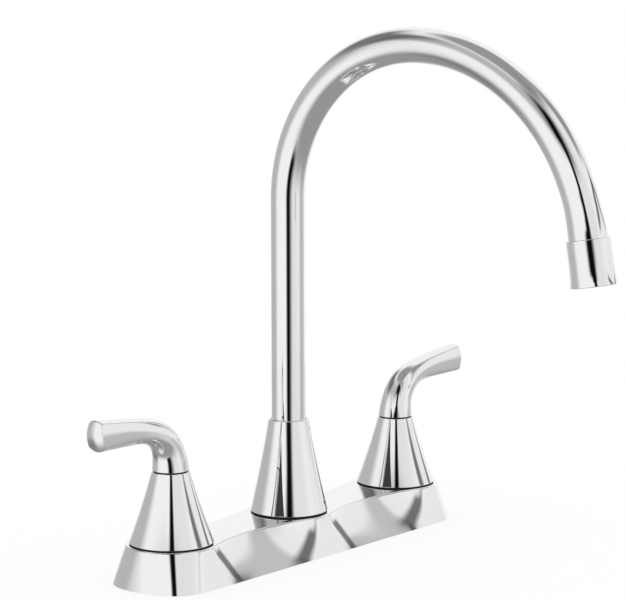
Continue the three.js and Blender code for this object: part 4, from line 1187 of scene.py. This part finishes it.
cloth = Finish("tent_cloth", "ShaderNodeEmission")
split = cloth.node("ShaderNodeSeparateXYZ", None, cloth.node("ShaderNodeTexCoord", output="Object"))
x, y, z = [Number(cloth, socket) for socket in split.socket.node.outputs]
sideways = x * math.cos(azimuth) - y * math.sin(azimuth)
forward = -1 * (x * math.sin(azimuth) + y * math.cos(azimuth))
degree = 180 / math.pi
turn_angle = z.work("ARCTAN2", sideways, forward) * degree
lift_angle = z.work("ARCSINE", z / TENT_RADIUS) * degree
print("tent pitched,", TENT_RADIUS, "m in radius")

# %% [markdown]
# The cloth is white, with soft patches: a grey side to the left, a paler one to the right, a grey
# ceiling, a dim ground, and a dark opening with a hood. A slanting stripe and a faint arc are there
# for the plate, whose twisted front bends them into crescents. Soft steps of the two angles do this
# without an image.

# %% Lay the grey patches on the cloth
rise = cloth.rise


def patch(value, start_low, start_high, end_low, end_high):
    """1 between the two soft steps and 0 outside them."""
    return rise(value, start_low, start_high) * (1 - rise(value, end_low, end_high))


def dim(light, level, mask):
    """The light brought to a level where the mask is 1."""
    return light + (level - light) * mask


high, low = rise(lift_angle, 18, 34), 1 - rise(lift_angle, -32, -10)
left = patch(turn_angle, -166, -136, -98, -68) * (1 - rise(lift_angle, 46, 60))
light = 1 - left * (0.48 + 0.32 * high + 0.3 * low)
veil = patch(turn_angle, -110, -86, -26, -6) * patch(lift_angle, 20, 38, 50, 66)
light = light * (1 - 0.48 * veil)
right_side = patch(turn_angle, 68, 96, 114, 138) * (1 - rise(lift_angle, 56, 72))
upper, lower = rise(lift_angle, 29, 37), 1 - rise(lift_angle, -3, 3)
light = light * (1 - right_side * (0.08 + 0.6 * upper + 0.36 * lower + 0.2 * low))
band = patch(turn_angle, 100, 105, 110, 115) * patch(lift_angle, 12, 20, 30, 36)
light = light * (1 - 0.36 * band) * (1 - 0.15 * patch(turn_angle, 6, 16, 46, 84))
slant = (turn_angle - 106.5) * (-14 / 20.5) + 18.5
stripe = patch(lift_angle - slant, -3, -1, 1, 3) * patch(turn_angle, 101.5, 106.5, 127, 132)
light = light * (1 - 0.75 * stripe)
arc = (turn_angle - 76) * 0.23 + 16
crescent = patch(lift_angle - arc, -7, -2, 1, 4.5) * patch(turn_angle, 69, 79, 102, 110)
light = light * (1 - 0.8 * crescent)

ground_low = 10 * z.work("SINE", turn_angle / degree) - 44
light = dim(light, 0.34, 1 - rise(lift_angle, ground_low, ground_low + 30))
ceiling = rise(lift_angle, 56, 70)
hood = patch(turn_angle, -34, -6, 4, 48) * patch(lift_angle, 24, 38, 50, 74)
light = light * (1 - 0.66 * ceiling) * (1 - hood)

sharp, slit = rise(lift_angle, 4, 12), rise(lift_angle, 13, 20)
wide = patch(lift_angle, -4, 2, 6, 12)
left_edge = rise(
    turn_angle, 4 * sharp + 7 * slit - 8 * wide - 18, 1.5 * sharp + 3 * slit - 5 * wide - 4,
)
right_edge = 1 - rise(turn_angle, 6 + 2 * sharp, 34 - 13 * sharp - 7 * slit)
opening = left_edge * right_edge * patch(lift_angle, -36, -24, 40, 52)
cloth.put(Strength=dim(light, 0.004, opening))
tent.data.materials.append(cloth.material)
tent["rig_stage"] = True
print("cloth painted with", len(cloth.tree.nodes), "nodes")

# %% [markdown]
# A black flag is a small dark card beside a piece, which the metal picks up as a crisp dark wedge.
# Two stand here, each to the left of a cone as the camera sees it. Only reflections see them, and
# each is clear from behind, so that the next cone doesn't pick it up too.

# %% Set two black flags
black = Finish("black_card", "ShaderNodeEmission")
black.put(Color=(0.05, 0.05, 0.05, 1))
black.clear_where(black.node("ShaderNodeNewGeometry", output="Backfacing"))


def across_view(sideways_by, towards, height):
    """A point in metres, from millimetres sideways and towards the camera as seen in plan."""
    nearer = Vector((-math.sin(azimuth), -math.cos(azimuth), 0))
    return (right * sideways_by + nearer * towards + Vector((0, 0, height))) * MM


def set_flag(name, x, low, high):
    """A three cornered card beside the cone at x, between two heights."""
    corners = across_view(-46, 66, low), across_view(-14, 78, low), across_view(-43, 67, high)
    start(bpy.ops.mesh.primitive_circle_add, vertices=3, radius=1, fill_type="NGON")
    mesh = bmesh.from_edit_mesh(bpy.context.object.data)
    for vert, corner in zip(mesh.verts, corners):
        vert.co = corner + Vector((x * MM, 0, 0))
    flag = stop()
    to_the_cone = across_view(12, -32, 0)
    if flag.data.polygons[0].normal.dot(to_the_cone) < 0:
        flag.data.flip_normals()
    flag.name = name
    flag.visible_camera = flag.visible_diffuse = flag.visible_shadow = False
    flag.data.materials.append(black.material)
    flag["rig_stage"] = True


set_flag("flag_middle", 0, 35, 76)
set_flag("flag_right", HALF_SPACING, 52, 90)
print("flags set")

# %% [markdown]
# ## Finishes for the CAD pieces
#
# Every CAD piece has a finer one in its place. The CAD meshes stay, hidden and untouched, and each
# still takes the finish that its slot in the record names.

# %% Give the CAD pieces their finish
slots = {row["node"]: row["material_slot"] for row in frame["record"]["subparts"]}
for name, node in frame["nodes"].items():
    node.data.materials.clear()
    node.data.materials.append(finishes[slots[name]])
print("still shown:", [name for name, node in frame["nodes"].items() if not node.hide_render])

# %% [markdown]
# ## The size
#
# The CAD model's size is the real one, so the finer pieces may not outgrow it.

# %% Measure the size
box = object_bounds()
plain = lambda corners: [[float(value) for value in corner] for corner in corners]
{"cad": plain(cad_box), "visual": plain(box)}
print("size:", [round((box[1][i] - box[0][i]) / MM, 1) for i in range(3)])
